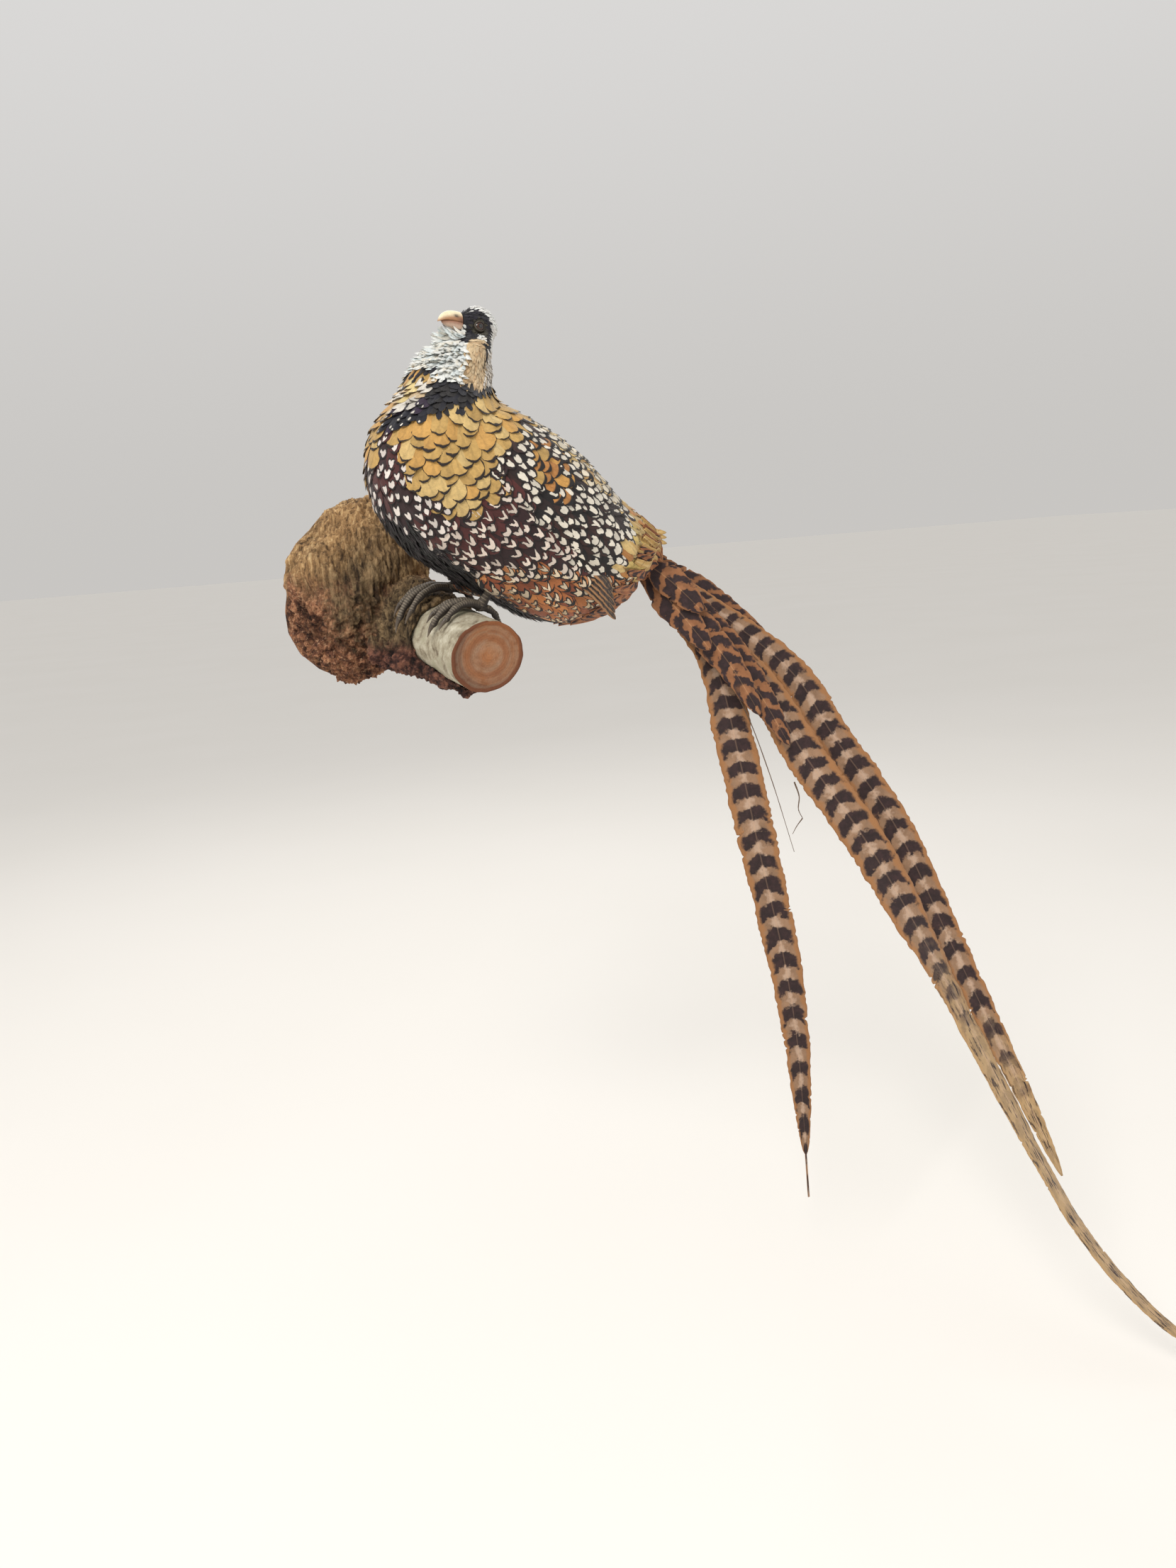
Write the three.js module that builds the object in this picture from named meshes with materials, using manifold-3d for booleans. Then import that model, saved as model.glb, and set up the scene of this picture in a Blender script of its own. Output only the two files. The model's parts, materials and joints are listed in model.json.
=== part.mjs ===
// A taxidermy Reeves's pheasant cock on a wall-hung log, in millimetres, +Z up.
// The origin is the centre of the log's flat back, which lies on the wall at y = 0. The wall is on
// the +Y side, so everything stands out towards -Y. The bird faces -X, and its left side faces -Y.
import * as THREE from "three";
import { mergeVertices } from "three/addons/utils/BufferGeometryUtils.js";
import Module from "manifold-3d";

const wasm = await Module();
wasm.setup();

// ---------------------------------------------------------------- driving dimensions
const GAP = 0.3; // clearance between neighbouring pieces

// The bird's middle: its place, how far its breast is turned out from the wall, and its head's turn.
const BODY_PLACE = new THREE.Vector3(104, -175, 70);
const BODY_TURN = 12;
const HEAD_PLACE = new THREE.Vector3(98, -180, 233);
const HEAD_TURN = 25;
const HEAD_LIFT = 9;

// Cross-sections of rump, trunk and neck. Each has its middle (along: forward of the body's middle,
// up: above it), the pitch of the spine there in degrees, and half its width, rise and drop.
const RUMP_SECTIONS = [
  { along: -161, up: -58, pitch: 38, wide: 24, rise: 19, drop: 20 },
  { along: -150, up: -63, pitch: 39, wide: 40, rise: 34, drop: 38 },
  { along: -133, up: -68, pitch: 40, wide: 54, rise: 52, drop: 58 },
];
const TRUNK_SECTIONS = [
  { along: -110, up: -62, pitch: 40, wide: 64, rise: 64, drop: 72 },
  { along: -80, up: -48, pitch: 40, wide: 71, rise: 74, drop: 82 },
  { along: -45, up: -24, pitch: 40, wide: 75, rise: 83, drop: 86 },
  { along: -8, up: 0, pitch: 41, wide: 77, rise: 87, drop: 88 },
  { along: 26, up: 22, pitch: 44, wide: 76, rise: 85, drop: 90 },
  { along: 50, up: 46, pitch: 52, wide: 71, rise: 77, drop: 87 },
  { along: 60, up: 72, pitch: 64, wide: 63, rise: 67, drop: 77 },
  { along: 55, up: 94, pitch: 74, wide: 55, rise: 57, drop: 64 },
];
const NECK_SECTIONS = [
  { along: 42, up: 111, pitch: 82, wide: 45, rise: 46, drop: 47 },
  { along: 30, up: 128, pitch: 88, wide: 37, rise: 42, drop: 45 },
  { along: 20, up: 142, pitch: 88, wide: 29, rise: 34, drop: 39 },
  { along: 11, up: 153, pitch: 86, wide: 20, rise: 22, drop: 29 },
];

// Cross-sections of the head, from nape to the root of the bill: forward of the head's middle, the
// height of the section's middle, and half its width, rise and drop.
const HEAD_SECTIONS = [
  { forward: -23, up: -3, wide: 6, rise: 8, drop: 8 },
  { forward: -18, up: -2, wide: 11, rise: 14, drop: 14 },
  { forward: -9, up: -1, wide: 14.5, rise: 18, drop: 18 },
  { forward: 2, up: 0, wide: 15, rise: 18, drop: 18.5 },
  { forward: 11, up: -1, wide: 12.5, rise: 14.5, drop: 15 },
  { forward: 17, up: -2, wide: 9.5, rise: 10.5, drop: 11 },
  { forward: 21, up: -3, wide: 7, rise: 8, drop: 8 },
];
const AROUND_HEAD = 20;
const EYE_RADIUS = 5.4;
const EYE_PLACE = { forward: 6, side: 9.1, up: -4.5 };

// The bill: from its root to its tip, the cutting edge and the ridge and keel either side of it.
const BILL_ROOT = 21.4;
const BILL_LENGTH = 24;
const BILL_HALF_WIDTH = 6.4;
const UPPER_BILL_DEPTH = 10.4;
const LOWER_BILL_DEPTH = 5.8;
const LOWER_BILL_SHARE = 0.82; // of the upper half's length
const BILL_SEAM = -4;
const BILL_HOOK = 3.4;
const BILL_TAPER = 0.965; // how far the depth has closed at the tip
const BILL_NARROWING = 0.25; // how much faster the width closes
const BILL_RINGS = 7;
const BILL_SIDES = 8;

// The log: a rough burl against the wall, a cut branch that stands out of it, the rough knee round
// the branch's root, and a rib of old wood under them.
// The burl's fullness is how squarely it bulges. Its lumps are a share of its radius, so many to a
// turn, twisting by so many radians from the wall out, and fading where it is wide.
const BURL = {
  middle: [-15, 0], depth: 92, levels: 6, around: 22, fullness: 2.6, crown: 0.12,
  lumps: 0.05, lobes: 4, twist: 5, fade: 0.4,
};
const BURL_RIM = [84, 95, 106, 87, 67, 68, 60, 72, 89, 96, 92, 80]; // radii every 30 degrees from +X
const BRANCH_ROOT = new THREE.Vector3(30, -18, -28);
const BRANCH_CUT = new THREE.Vector3(65, -228, -66);
const BRANCH = { thick: 35, thin: 34, waves: 0.6, around: 24 };
const KNEE = { start: 0.12, end: 0.6, thick: 50, thin: 39, waves: 0.8, around: 14 }; // shares of the branch
const BAR_STEPS = 6;
const BAR_WAVE = { first: 1, turn: 7 }; // radians of the wave at a bar's root, and from there to its end
const RIB = {
  from: new THREE.Vector3(-2, -92, -58), to: new THREE.Vector3(54, -208, -96),
  thick: 17, thin: 8, waves: 1.5, around: 12,
};

// The legs: each foot's place along the branch as a share of its length, and its toes. A toe turns
// round the branch by its reach in degrees, and strays along it by its splay in millimetres.
// It starts at the foot's own turn, lies on wood of the girth there, and arches up off it.
const FEET = {
  left: { share: 0.79, turn: -24, girth: 35.4, hip: [20, 27, -60] },
  right: { share: 0.54, turn: -14, girth: 42, hip: [20, -27, -60] },
};
const TOES = {
  outer: { reach: 66, splay: 14, thick: 4.3 },
  middle: { reach: 80, splay: 0, thick: 4.8 },
  inner: { reach: 64, splay: -14, thick: 4.3 },
  hind: { reach: -36, splay: 3, thick: 3.9 },
};
const TOE = {
  start: 0.06, arch: 2.6, taper: 0.3, joint: 1.04, waist: 0.93, joints: 6, clear: 0.6, stray: 0.8,
};
const CLAW = { start: 0.97, reach: 15, thick: 0.66, point: 0.5, lift: 1.4, bends: 1.06, drop: 3, steps: 4 };
const THIGH = { length: 46, wide: 17, deep: 23, round: 0.9, steps: 6, around: 14 };
// A tarsus runs from the sole of its foot to an ankle that lies within the thigh.
const TARSUS = {
  radius: 4.6, swollen: 5.2, shares: [0.3, 0.65], around: 10,
  ankle: { behind: 6, inward: 0.8, below: 2 },
};
const FOOT = { radius: 6.5, heel: 0.8, sunk: 5, ball: 1 };

// The folded wings lie on the trunk: how thick they are, how far they run as shares of its length
// from tail to neck, and their middle line's angle down from the back at either end.
const WING = {
  thick: 9, edge: 3.2, sunk: 4, heel: 0.1, shoulder: 0.86, heel_angle: 84, shoulder_angle: 62,
  half_angle: 30, least: 0.35, spread_inset: 0.12, bulge_inset: 0.1, along: 10, across: 8,
};
const WING_TIP = {
  from: [-64, 62, -52], to: [-106, 54, -98], half_width: 17, thick: 3, bow: 8, slant: 33.5,
  taper: 0.97, steps: 8, around: 8,
};

// The tail feathers: a vane's thickness at its edge and shaft, the step between layers, its width at
// the quill, how fast that widens, from where and how it draws to a point, and its camber.
const VANE = {
  edge: 0.8, middle: 1.5, layer: 2.4, quill: 0.3, widening: 2.8, full: 0.3, point: 1.7, least: 0.05,
  camber: 0.05, step: 36,
};
// Each one's middle line, its width, and its layer out from the wall side.
const TAIL_FEATHERS = {
  tail_long_far: {
    layer: 0, width: 38, line: [[268, -142, 12], [346, -154, -50], [428, -175, -128],
      [462, -190, -193], [516, -225, -297], [558, -280, -448], [589, -350, -593], [600, -392, -668]],
  },
  tail_long_near: {
    layer: 1, width: 44, line: [[264, -144, 6], [326, -160, -55], [390, -185, -146],
      [418, -200, -208], [471, -235, -308], [523, -290, -449], [559, -360, -590],
      [586, -430, -702], [631, -480, -783], [675, -520, -829]],
  },
  tail_mid_near: {
    layer: 2, width: 43, line: [[262, -146, 2], [296, -157, -44], [332, -168, -103],
      [349, -182, -205], [363, -196, -321], [379, -206, -428], [388, -213, -529], [391, -220, -718]],
  },
  tail_short_near_1: {
    layer: 3, width: 38, line: [[262, -147, 4], [306, -166, -44], [362, -188, -122], [398, -204, -196]],
  },
  tail_short_near_2: {
    layer: 4, width: 36, line: [[261, -148, 2], [300, -168, -46], [338, -186, -102], [366, -200, -160]],
  },
  tail_short_near_3: {
    layer: 5, width: 34, line: [[260, -149, 0], [288, -168, -40], [318, -186, -88]],
  },
  tail_short_near_4: {
    layer: 6, width: 32, line: [[262, -151, 8], [286, -169, -16], [312, -184, -48]],
  },
  tail_short_far_1: {
    layer: -1, width: 36, line: [[270, -141, 16], [336, -145, -34], [408, -155, -102], [458, -170, -166]],
  },
  tail_short_far_2: {
    layer: -2, width: 36, line: [[270, -140, 18], [324, -138, -29], [380, -142, -80], [420, -150, -130]],
  },
  tail_short_far_3: {
    layer: -3, width: 31, line: [[270, -139, 20], [311, -132, -17], [347, -129, -55]],
  },
  tail_short_far_4: {
    layer: -4, width: 27, line: [[268, -138, 20], [297, -126, -9], [323, -119, -40]],
  },
};

// ---------------------------------------------------------------- places
const UP = new THREE.Vector3(0, 0, 1);
const radians = THREE.MathUtils.degToRad;

// A level direction turned out from -X towards -Y by so many degrees.
function facing(turn) {
  return new THREE.Vector3(-Math.cos(radians(turn)), -Math.sin(radians(turn)), 0);
}

// A point of the bird's body: forward of its middle, to its left and above it.
function bodyPoint(along, left, up) {
  const forward = facing(BODY_TURN);
  const side = UP.clone().cross(forward);
  return BODY_PLACE.clone()
    .addScaledVector(forward, along)
    .addScaledVector(side, left)
    .addScaledVector(UP, up);
}

// A point of the head, by axes that are level but for the head's lift.
function headPoint(forward, left, up) {
  const level = facing(HEAD_TURN);
  const side = UP.clone().cross(level);
  const ahead = level.clone().multiplyScalar(Math.cos(radians(HEAD_LIFT)))
    .addScaledVector(UP, Math.sin(radians(HEAD_LIFT)));
  const above = ahead.clone().cross(side);
  return HEAD_PLACE.clone()
    .addScaledVector(ahead, forward)
    .addScaledVector(side, left)
    .addScaledVector(above, up);
}

// ---------------------------------------------------------------- closed skins
function middleOf(points) {
  const sum = new THREE.Vector3();
  points.forEach((point) => sum.add(point));
  return sum.divideScalar(points.length);
}

// Six times the volume that the faces close off: negative where they face inwards.
function signedVolume(geometry) {
  const place = geometry.getAttribute("position");
  const [a, b, c] = [new THREE.Vector3(), new THREE.Vector3(), new THREE.Vector3()];
  let sum = 0;
  for (let i = 0; i < geometry.index.count; i += 3) {
    a.fromBufferAttribute(place, geometry.index.getX(i));
    b.fromBufferAttribute(place, geometry.index.getX(i + 1));
    c.fromBufferAttribute(place, geometry.index.getX(i + 2));
    sum += a.dot(b.cross(c));
  }
  return sum;
}

// The geometry with only its places, shared corners merged, and every face turned outwards.
function facingOut(geometry) {
  geometry.deleteAttribute("normal");
  geometry.deleteAttribute("uv");
  const merged = mergeVertices(geometry, 1e-3);
  if (signedVolume(merged) < 0) merged.setIndex([...merged.index.array].reverse());
  return merged;
}

// A closed skin over rings of points: a sphere's net of faces with each row laid on one ring.
function skinOver(rings) {
  const around = rings[0].length;
  const net = new THREE.SphereGeometry(1, around, rings.length + 1);
  const place = net.getAttribute("position");
  const rows = [
    new Array(around).fill(middleOf(rings[0])),
    ...rings,
    new Array(around).fill(middleOf(rings.at(-1))),
  ];
  rows.forEach((row, r) => {
    for (let c = 0; c <= around; c += 1) {
      const point = row[c % around];
      place.setXYZ(r * (around + 1) + c, point.x, point.y, point.z);
    }
  });
  return facingOut(net);
}

function solidOf(geometry) {
  return new wasm.Manifold(new wasm.Mesh({
    numProp: 3,
    vertProperties: new Float32Array(geometry.getAttribute("position").array),
    triVerts: new Uint32Array(geometry.index.array),
  }));
}

function geometryOf(solid) {
  const mesh = solid.getMesh();
  const geometry = new THREE.BufferGeometry();
  geometry.setAttribute("position", new THREE.BufferAttribute(mesh.vertProperties, 3));
  geometry.setIndex(new THREE.BufferAttribute(mesh.triVerts, 1));
  return geometry;
}

// A geometry less its neighbours. Crumbs that a cut leaves are dropped: only the main body is kept.
function carved(geometry, ...neighbours) {
  let solid = solidOf(geometry);
  neighbours.forEach((neighbour) => {
    solid = solid.subtract(solidOf(neighbour));
  });
  const bodies = solid.decompose();
  bodies.sort((a, b) => b.volume() - a.volume());
  return geometryOf(bodies[0]);
}

// A smooth run of numbers through a list of them, read at t from 0 to 1.
function smoothRun(values) {
  const curve = new THREE.CatmullRomCurve3(values.map((value) => new THREE.Vector3(value, 0, 0)));
  return (t) => curve.getPoint(t).x;
}

// ---------------------------------------------------------------- trunk and neck
const BODY_SECTIONS = [...RUMP_SECTIONS, ...TRUNK_SECTIONS, ...NECK_SECTIONS];
const AROUND_BODY = 24;

// Reads the body's run of sections at any section number, whole or part.
const bodyRun = {};
["along", "up", "pitch", "wide", "rise", "drop"].forEach((key) => {
  const run = smoothRun(BODY_SECTIONS.map((section) => section[key]));
  bodyRun[key] = (number) => run(number / (BODY_SECTIONS.length - 1));
});

// A point of the body's skin at a section number, and an angle down from the back to the left.
function onBody(number, angle, grow = 0) {
  const pitch = radians(bodyRun.pitch(number));
  const height = Math.cos(radians(angle));
  const reach = (height > 0 ? bodyRun.rise(number) : bodyRun.drop(number)) + grow;
  const side = Math.sin(radians(angle)) * (bodyRun.wide(number) + grow);
  return bodyPoint(
    bodyRun.along(number) - Math.sin(pitch) * height * reach,
    side,
    bodyRun.up(number) + Math.cos(pitch) * height * reach,
  );
}

// The length of body between two section numbers, its ends closed flat.
function bodyLength(from, to, steps, grow = 0) {
  const rings = [];
  for (let i = 0; i <= steps; i += 1) {
    const number = THREE.MathUtils.lerp(from, to, i / steps);
    const ring = [];
    for (let c = 0; c < AROUND_BODY; c += 1) {
      ring.push(onBody(number, (360 * c) / AROUND_BODY, grow));
    }
    rings.push(ring);
  }
  return skinOver(rings);
}

const RUMP_END = 2.5;
const TRUNK_END = 10.5;
const NECK_END = BODY_SECTIONS.length - 1;
const PARTING = 0.012; // share of a section step that a parting takes up
const RINGS = { rump: 5, trunk: 14, neck: 6 }; // how many rings each length is lofted through

const rump = (grow) => bodyLength(0, RUMP_END - PARTING, RINGS.rump, grow);
const trunk = (grow) => bodyLength(RUMP_END + PARTING, TRUNK_END - PARTING, RINGS.trunk, grow);
const neck = (grow) => bodyLength(TRUNK_END + PARTING * 2, NECK_END, RINGS.neck, grow);
const flesh = (grow) => [rump(grow), trunk(grow), neck(grow)];

// ---------------------------------------------------------------- head, eyes and bill
function oval(place, forward, section, grow, around) {
  const ring = [];
  for (let c = 0; c < around; c += 1) {
    const angle = (2 * Math.PI * c) / around;
    const height = Math.cos(angle) * ((Math.cos(angle) > 0 ? section.rise : section.drop) + grow);
    ring.push(place(forward, Math.sin(angle) * (section.wide + grow), section.up + height));
  }
  return ring;
}

function head(grow = 0) {
  const rings = HEAD_SECTIONS.map((section, i) => {
    const end = i === 0 ? -grow : 0;
    return oval(headPoint, section.forward + end, section, grow, AROUND_HEAD);
  });
  return skinOver(rings);
}

function eye(side, grow = 0) {
  const ball = new THREE.SphereGeometry(EYE_RADIUS + grow, 12, 8);
  const place = headPoint(EYE_PLACE.forward, side * EYE_PLACE.side, EYE_PLACE.up);
  return facingOut(ball.translate(place.x, place.y, place.z));
}

// The height of the line where the two halves of the bill meet, which hooks down at its tip.
function cuttingEdge(forward) {
  return BILL_SEAM - BILL_HOOK * (forward / BILL_LENGTH) ** 4;
}

// Half the bill: rise is 1 for the upper half and -1 for the lower.
function bill(rise, length, depth) {
  const rings = [];
  for (let i = 0; i <= BILL_RINGS; i += 1) {
    const t = i / BILL_RINGS;
    const taper = Math.sqrt(1 - BILL_TAPER * t * t);
    const wide = BILL_HALF_WIDTH * taper * (1 - BILL_NARROWING * t);
    const edge = cuttingEdge(length * t) + (rise * GAP) / 2;
    const ring = [];
    for (let c = 0; c <= BILL_SIDES; c += 1) {
      const angle = (Math.PI * c) / BILL_SIDES;
      const height = Math.sin(angle) * depth * taper;
      ring.push(headPoint(BILL_ROOT + length * t, Math.cos(angle) * wide, edge + rise * height));
    }
    rings.push(ring);
  }
  return skinOver(rings);
}

// ---------------------------------------------------------------- wings
// A swelling from one end to the other that is fullest in the middle; the inset keeps the ends up.
const swell = (t, inset) => Math.sin(Math.PI * (inset + (1 - 2 * inset) * t));

function wing(side) {
  const first = RUMP_SECTIONS.length - 0.5;
  const span = TRUNK_SECTIONS.length - 1;
  const rings = [];
  for (let i = 0; i <= WING.along; i += 1) {
    const t = i / WING.along;
    const number = first + span * THREE.MathUtils.lerp(WING.heel, WING.shoulder, t);
    const middle = THREE.MathUtils.lerp(WING.heel_angle, WING.shoulder_angle, t);
    const spread = WING.half_angle * THREE.MathUtils.lerp(WING.least, 1, swell(t, WING.spread_inset));
    const over = [];
    const under = [];
    for (let c = 0; c <= WING.across; c += 1) {
      const u = (2 * c) / WING.across - 1;
      const angle = side * (middle + u * spread);
      const bulge = Math.sqrt(1 - u * u) * swell(t, WING.bulge_inset);
      over.push(onBody(number, angle, THREE.MathUtils.lerp(WING.edge, WING.thick, bulge)));
      under.unshift(onBody(number, angle, -WING.sunk));
    }
    rings.push([...over, ...under]);
  }
  return skinOver(rings);
}

// The closed flight feathers: a blade that leaves the flank behind the wing.
function wingTip(side) {
  const rings = [];
  for (let i = 0; i <= WING_TIP.steps; i += 1) {
    const t = i / WING_TIP.steps;
    const mid = WING_TIP.from.map((value, k) => THREE.MathUtils.lerp(value, WING_TIP.to[k], t));
    const bow = WING_TIP.bow * Math.sin(Math.PI * t);
    const wide = WING_TIP.half_width * Math.sqrt(1 - WING_TIP.taper * t ** 3);
    const ring = [];
    for (let c = 0; c < WING_TIP.around; c += 1) {
      const angle = (2 * Math.PI * c) / WING_TIP.around;
      const lateral = mid[1] + bow + Math.sin(angle) * WING_TIP.thick;
      const spread = Math.cos(angle) * wide;
      ring.push(bodyPoint(
        mid[0] - spread * Math.sin(radians(WING_TIP.slant)),
        side * lateral,
        mid[2] + spread * Math.cos(radians(WING_TIP.slant)),
      ));
    }
    rings.push(ring);
  }
  return skinOver(rings);
}

// ---------------------------------------------------------------- log
// The burl's rim: its radius at any angle, a smooth closed run through the twelve.
const rimCurve = new THREE.CatmullRomCurve3(
  BURL_RIM.map((radius) => new THREE.Vector3(radius, 0, 0)), true);
const rimRadius = (turns) => rimCurve.getPoint(turns).x;

function burl(grow = 0) {
  const rings = [];
  for (let i = BURL.levels; i >= 0; i -= 1) {
    const share = i / BURL.levels;
    const size = Math.max(BURL.crown, Math.sqrt(1 - share ** BURL.fullness));
    const ring = [];
    for (let c = 0; c < BURL.around; c += 1) {
      const angle = (2 * Math.PI * c) / BURL.around;
      const wave = Math.sin(BURL.lobes * angle + BURL.twist * share);
      const lump = 1 + BURL.lumps * wave * (1 - size * BURL.fade);
      const radius = rimRadius(c / BURL.around) * size * lump + grow;
      ring.push(new THREE.Vector3(
        BURL.middle[0] + Math.cos(angle) * radius,
        -share * BURL.depth - (i > 0 ? grow : 0),
        BURL.middle[1] + Math.sin(angle) * radius,
      ));
    }
    rings.push(ring);
  }
  return skinOver(rings);
}

// A round bar between two points, thicker at one end, as a turned profile laid along its axis.
function bar(from, to, { thick, thin, waves, around }, grow) {
  const axis = to.clone().sub(from);
  const length = axis.length();
  const profile = [new THREE.Vector2(0, 0)];
  for (let i = 0; i <= BAR_STEPS; i += 1) {
    const t = i / BAR_STEPS;
    const wave = waves * Math.sin(BAR_WAVE.turn * t + BAR_WAVE.first);
    profile.push(new THREE.Vector2(THREE.MathUtils.lerp(thick, thin, t) + wave + grow, length * t));
  }
  profile.push(new THREE.Vector2(0, length));
  const turned = new THREE.LatheGeometry(profile, around);
  const upright = new THREE.Vector3(0, 1, 0);
  turned.applyQuaternion(new THREE.Quaternion().setFromUnitVectors(upright, axis.normalize()));
  turned.translate(from.x, from.y, from.z);
  return facingOut(turned);
}

const alongBranch = (share) => BRANCH_ROOT.clone().lerp(BRANCH_CUT, share);
const branch = (grow = 0) => bar(BRANCH_ROOT, BRANCH_CUT, BRANCH, grow);
const knee = (grow = 0) => bar(alongBranch(KNEE.start), alongBranch(KNEE.end), KNEE, grow);
const rib = (grow = 0) => bar(RIB.from, RIB.to, RIB, grow);

// ---------------------------------------------------------------- legs
const BRANCH_AXIS = BRANCH_CUT.clone().sub(BRANCH_ROOT);
const BRANCH_LENGTH = BRANCH_AXIS.length();
BRANCH_AXIS.normalize();
const OVER_BRANCH = UP.clone().addScaledVector(BRANCH_AXIS, -UP.dot(BRANCH_AXIS)).normalize();
const AHEAD_OF_BRANCH = OVER_BRANCH.clone().cross(BRANCH_AXIS).normalize();
if (AHEAD_OF_BRANCH.x > 0) AHEAD_OF_BRANCH.negate();

// A point off the branch's axis: so far along it, turned forward from its top, at a radius.
function roundBranch(along, angle, radius) {
  return BRANCH_ROOT.clone()
    .addScaledVector(BRANCH_AXIS, along)
    .addScaledVector(OVER_BRANCH, Math.cos(radians(angle)) * radius)
    .addScaledVector(AHEAD_OF_BRANCH, Math.sin(radians(angle)) * radius);
}

// A tapering round limb through points: the ring at each point faces along the way.
function limb(points, radii, around) {
  const curve = new THREE.CatmullRomCurve3(points);
  const frames = curve.computeFrenetFrames(points.length - 1, false);
  const rings = points.map((point, i) => {
    const ring = [];
    for (let c = 0; c < around; c += 1) {
      const angle = (2 * Math.PI * c) / around;
      ring.push(point.clone()
        .addScaledVector(frames.normals[i], Math.cos(angle) * radii[i])
        .addScaledVector(frames.binormals[i], Math.sin(angle) * radii[i]));
    }
    return ring;
  });
  return skinOver(rings);
}

function toePoints(foot, toe, from, to, steps, lift) {
  const base = BRANCH_LENGTH * foot.share;
  const points = [];
  for (let i = 0; i <= steps; i += 1) {
    const t = THREE.MathUtils.lerp(from, to, i / steps);
    const along = base + toe.splay * Math.min(1, t) ** TOE.stray;
    points.push(roundBranch(along, foot.turn + toe.reach * t, foot.girth + lift(t)));
  }
  return points;
}

function toe(foot, spec, grow = 0) {
  const rise = (t) => spec.thick + TOE.clear + TOE.arch * Math.sin(Math.PI * Math.min(1, t));
  const points = toePoints(foot, spec, TOE.start, 1, TOE.joints, rise);
  const radii = points.map((_, i) => {
    const knuckle = i % 2 ? TOE.waist : TOE.joint;
    return spec.thick * (1 - TOE.taper * (i / TOE.joints)) * knuckle + grow;
  });
  return limb(points, radii, 6);
}

function claw(foot, spec, grow = 0) {
  const end = 1 + CLAW.reach / Math.abs(spec.reach);
  const rise = (t) => spec.thick + CLAW.lift - CLAW.drop * Math.max(0, t - CLAW.bends);
  const points = toePoints(foot, spec, CLAW.start, end, CLAW.steps, rise);
  const radii = points.map((_, i) => (
    THREE.MathUtils.lerp(spec.thick * CLAW.thick, CLAW.point, i / CLAW.steps) + grow));
  return limb(points, radii, 5);
}

function footPlace(foot) {
  return roundBranch(BRANCH_LENGTH * foot.share, foot.turn, foot.girth + FOOT.radius);
}

function tarsus(foot, side, grow = 0) {
  const sole = footPlace(foot);
  const { behind, inward, below } = TARSUS.ankle;
  const ankle = bodyPoint(foot.hip[0] - behind, foot.hip[1] * inward, foot.hip[2] - below);
  const points = [
    sole.clone().addScaledVector(UP, -FOOT.sunk),
    sole.clone().addScaledVector(UP, -FOOT.ball),
    ...TARSUS.shares.map((share) => sole.clone().lerp(ankle, share)),
    ankle,
  ];
  const radii = [
    FOOT.radius * FOOT.heel, FOOT.radius, ...TARSUS.shares.map(() => TARSUS.radius), TARSUS.swollen,
  ];
  return limb(points, radii.map((radius) => radius + grow), TARSUS.around);
}

function thigh(foot, grow = 0) {
  const [along, left, up] = foot.hip;
  const rings = [];
  for (let i = 0; i <= THIGH.steps; i += 1) {
    const t = i / THIGH.steps;
    const size = Math.sqrt(1 - (THIGH.round * (2 * t - 1)) ** 2);
    const ring = [];
    for (let c = 0; c < THIGH.around; c += 1) {
      const angle = (2 * Math.PI * c) / THIGH.around;
      ring.push(bodyPoint(
        along + THIGH.length * (t - 0.5),
        left + Math.sin(angle) * (THIGH.wide * size + grow),
        up + Math.cos(angle) * (THIGH.deep * size + grow),
      ));
    }
    rings.push(ring);
  }
  return skinOver(rings);
}

// ---------------------------------------------------------------- tail
const TAIL_OUT = new THREE.Vector3(-0.33, -0.94, 0.08).normalize();

// A feather's half width along it: narrow at the quill, full by a quarter, drawn to a point.
function vaneShare(t) {
  const quill = Math.min(1, VANE.quill + VANE.widening * t);
  const spent = Math.max(0, (t - VANE.full) / (1 - VANE.full));
  return quill * Math.max(VANE.least, Math.sqrt(1 - spent ** VANE.point));
}

function tailFeather({ line, width, layer }) {
  const curve = new THREE.CatmullRomCurve3(line.map((point) => new THREE.Vector3(...point)));
  const steps = Math.round(THREE.MathUtils.clamp(curve.getLength() / VANE.step, 7, 30));
  const rings = [];
  for (let i = 0; i <= steps; i += 1) {
    const t = i / steps;
    const middle = curve.getPointAt(t).addScaledVector(TAIL_OUT, layer * VANE.layer);
    const way = curve.getTangentAt(t);
    const across = way.clone().cross(TAIL_OUT).normalize();
    const out = across.clone().cross(way).normalize();
    const half = (width / 2) * vaneShare(t);
    const camber = VANE.camber * half;
    const corner = (u, side) => {
      const thick = (u === 0 ? VANE.middle : VANE.edge) / 2;
      return middle.clone()
        .addScaledVector(across, u * half)
        .addScaledVector(out, side * thick - (u === 0 ? 0 : camber));
    };
    rings.push([corner(-1, 1), corner(0, 1), corner(1, 1), corner(1, -1), corner(0, -1), corner(-1, -1)]);
  }
  return skinOver(rings);
}

// ---------------------------------------------------------------- the model
const FINISHES = {
  gold: { color: 0xb98f3c, roughness: 0.7 },
  maroon: { color: 0x55261f, roughness: 0.7 },
  black: { color: 0x2a2220, roughness: 0.7 },
  white: { color: 0xd8dcd4, roughness: 0.8 },
  horn: { color: 0xd9c7a0, roughness: 0.45 },
  eye: { color: 0x2a1d12, roughness: 0.1 },
  leg: { color: 0x57504a, roughness: 0.6 },
  claw: { color: 0x3a332e, roughness: 0.4 },
  vane: { color: 0x9a6a42, roughness: 0.7 },
  burl: { color: 0x8c6644, roughness: 0.95 },
  bark: { color: 0xaaa083, roughness: 0.85 },
};

const pheasant = new THREE.Group();

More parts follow.
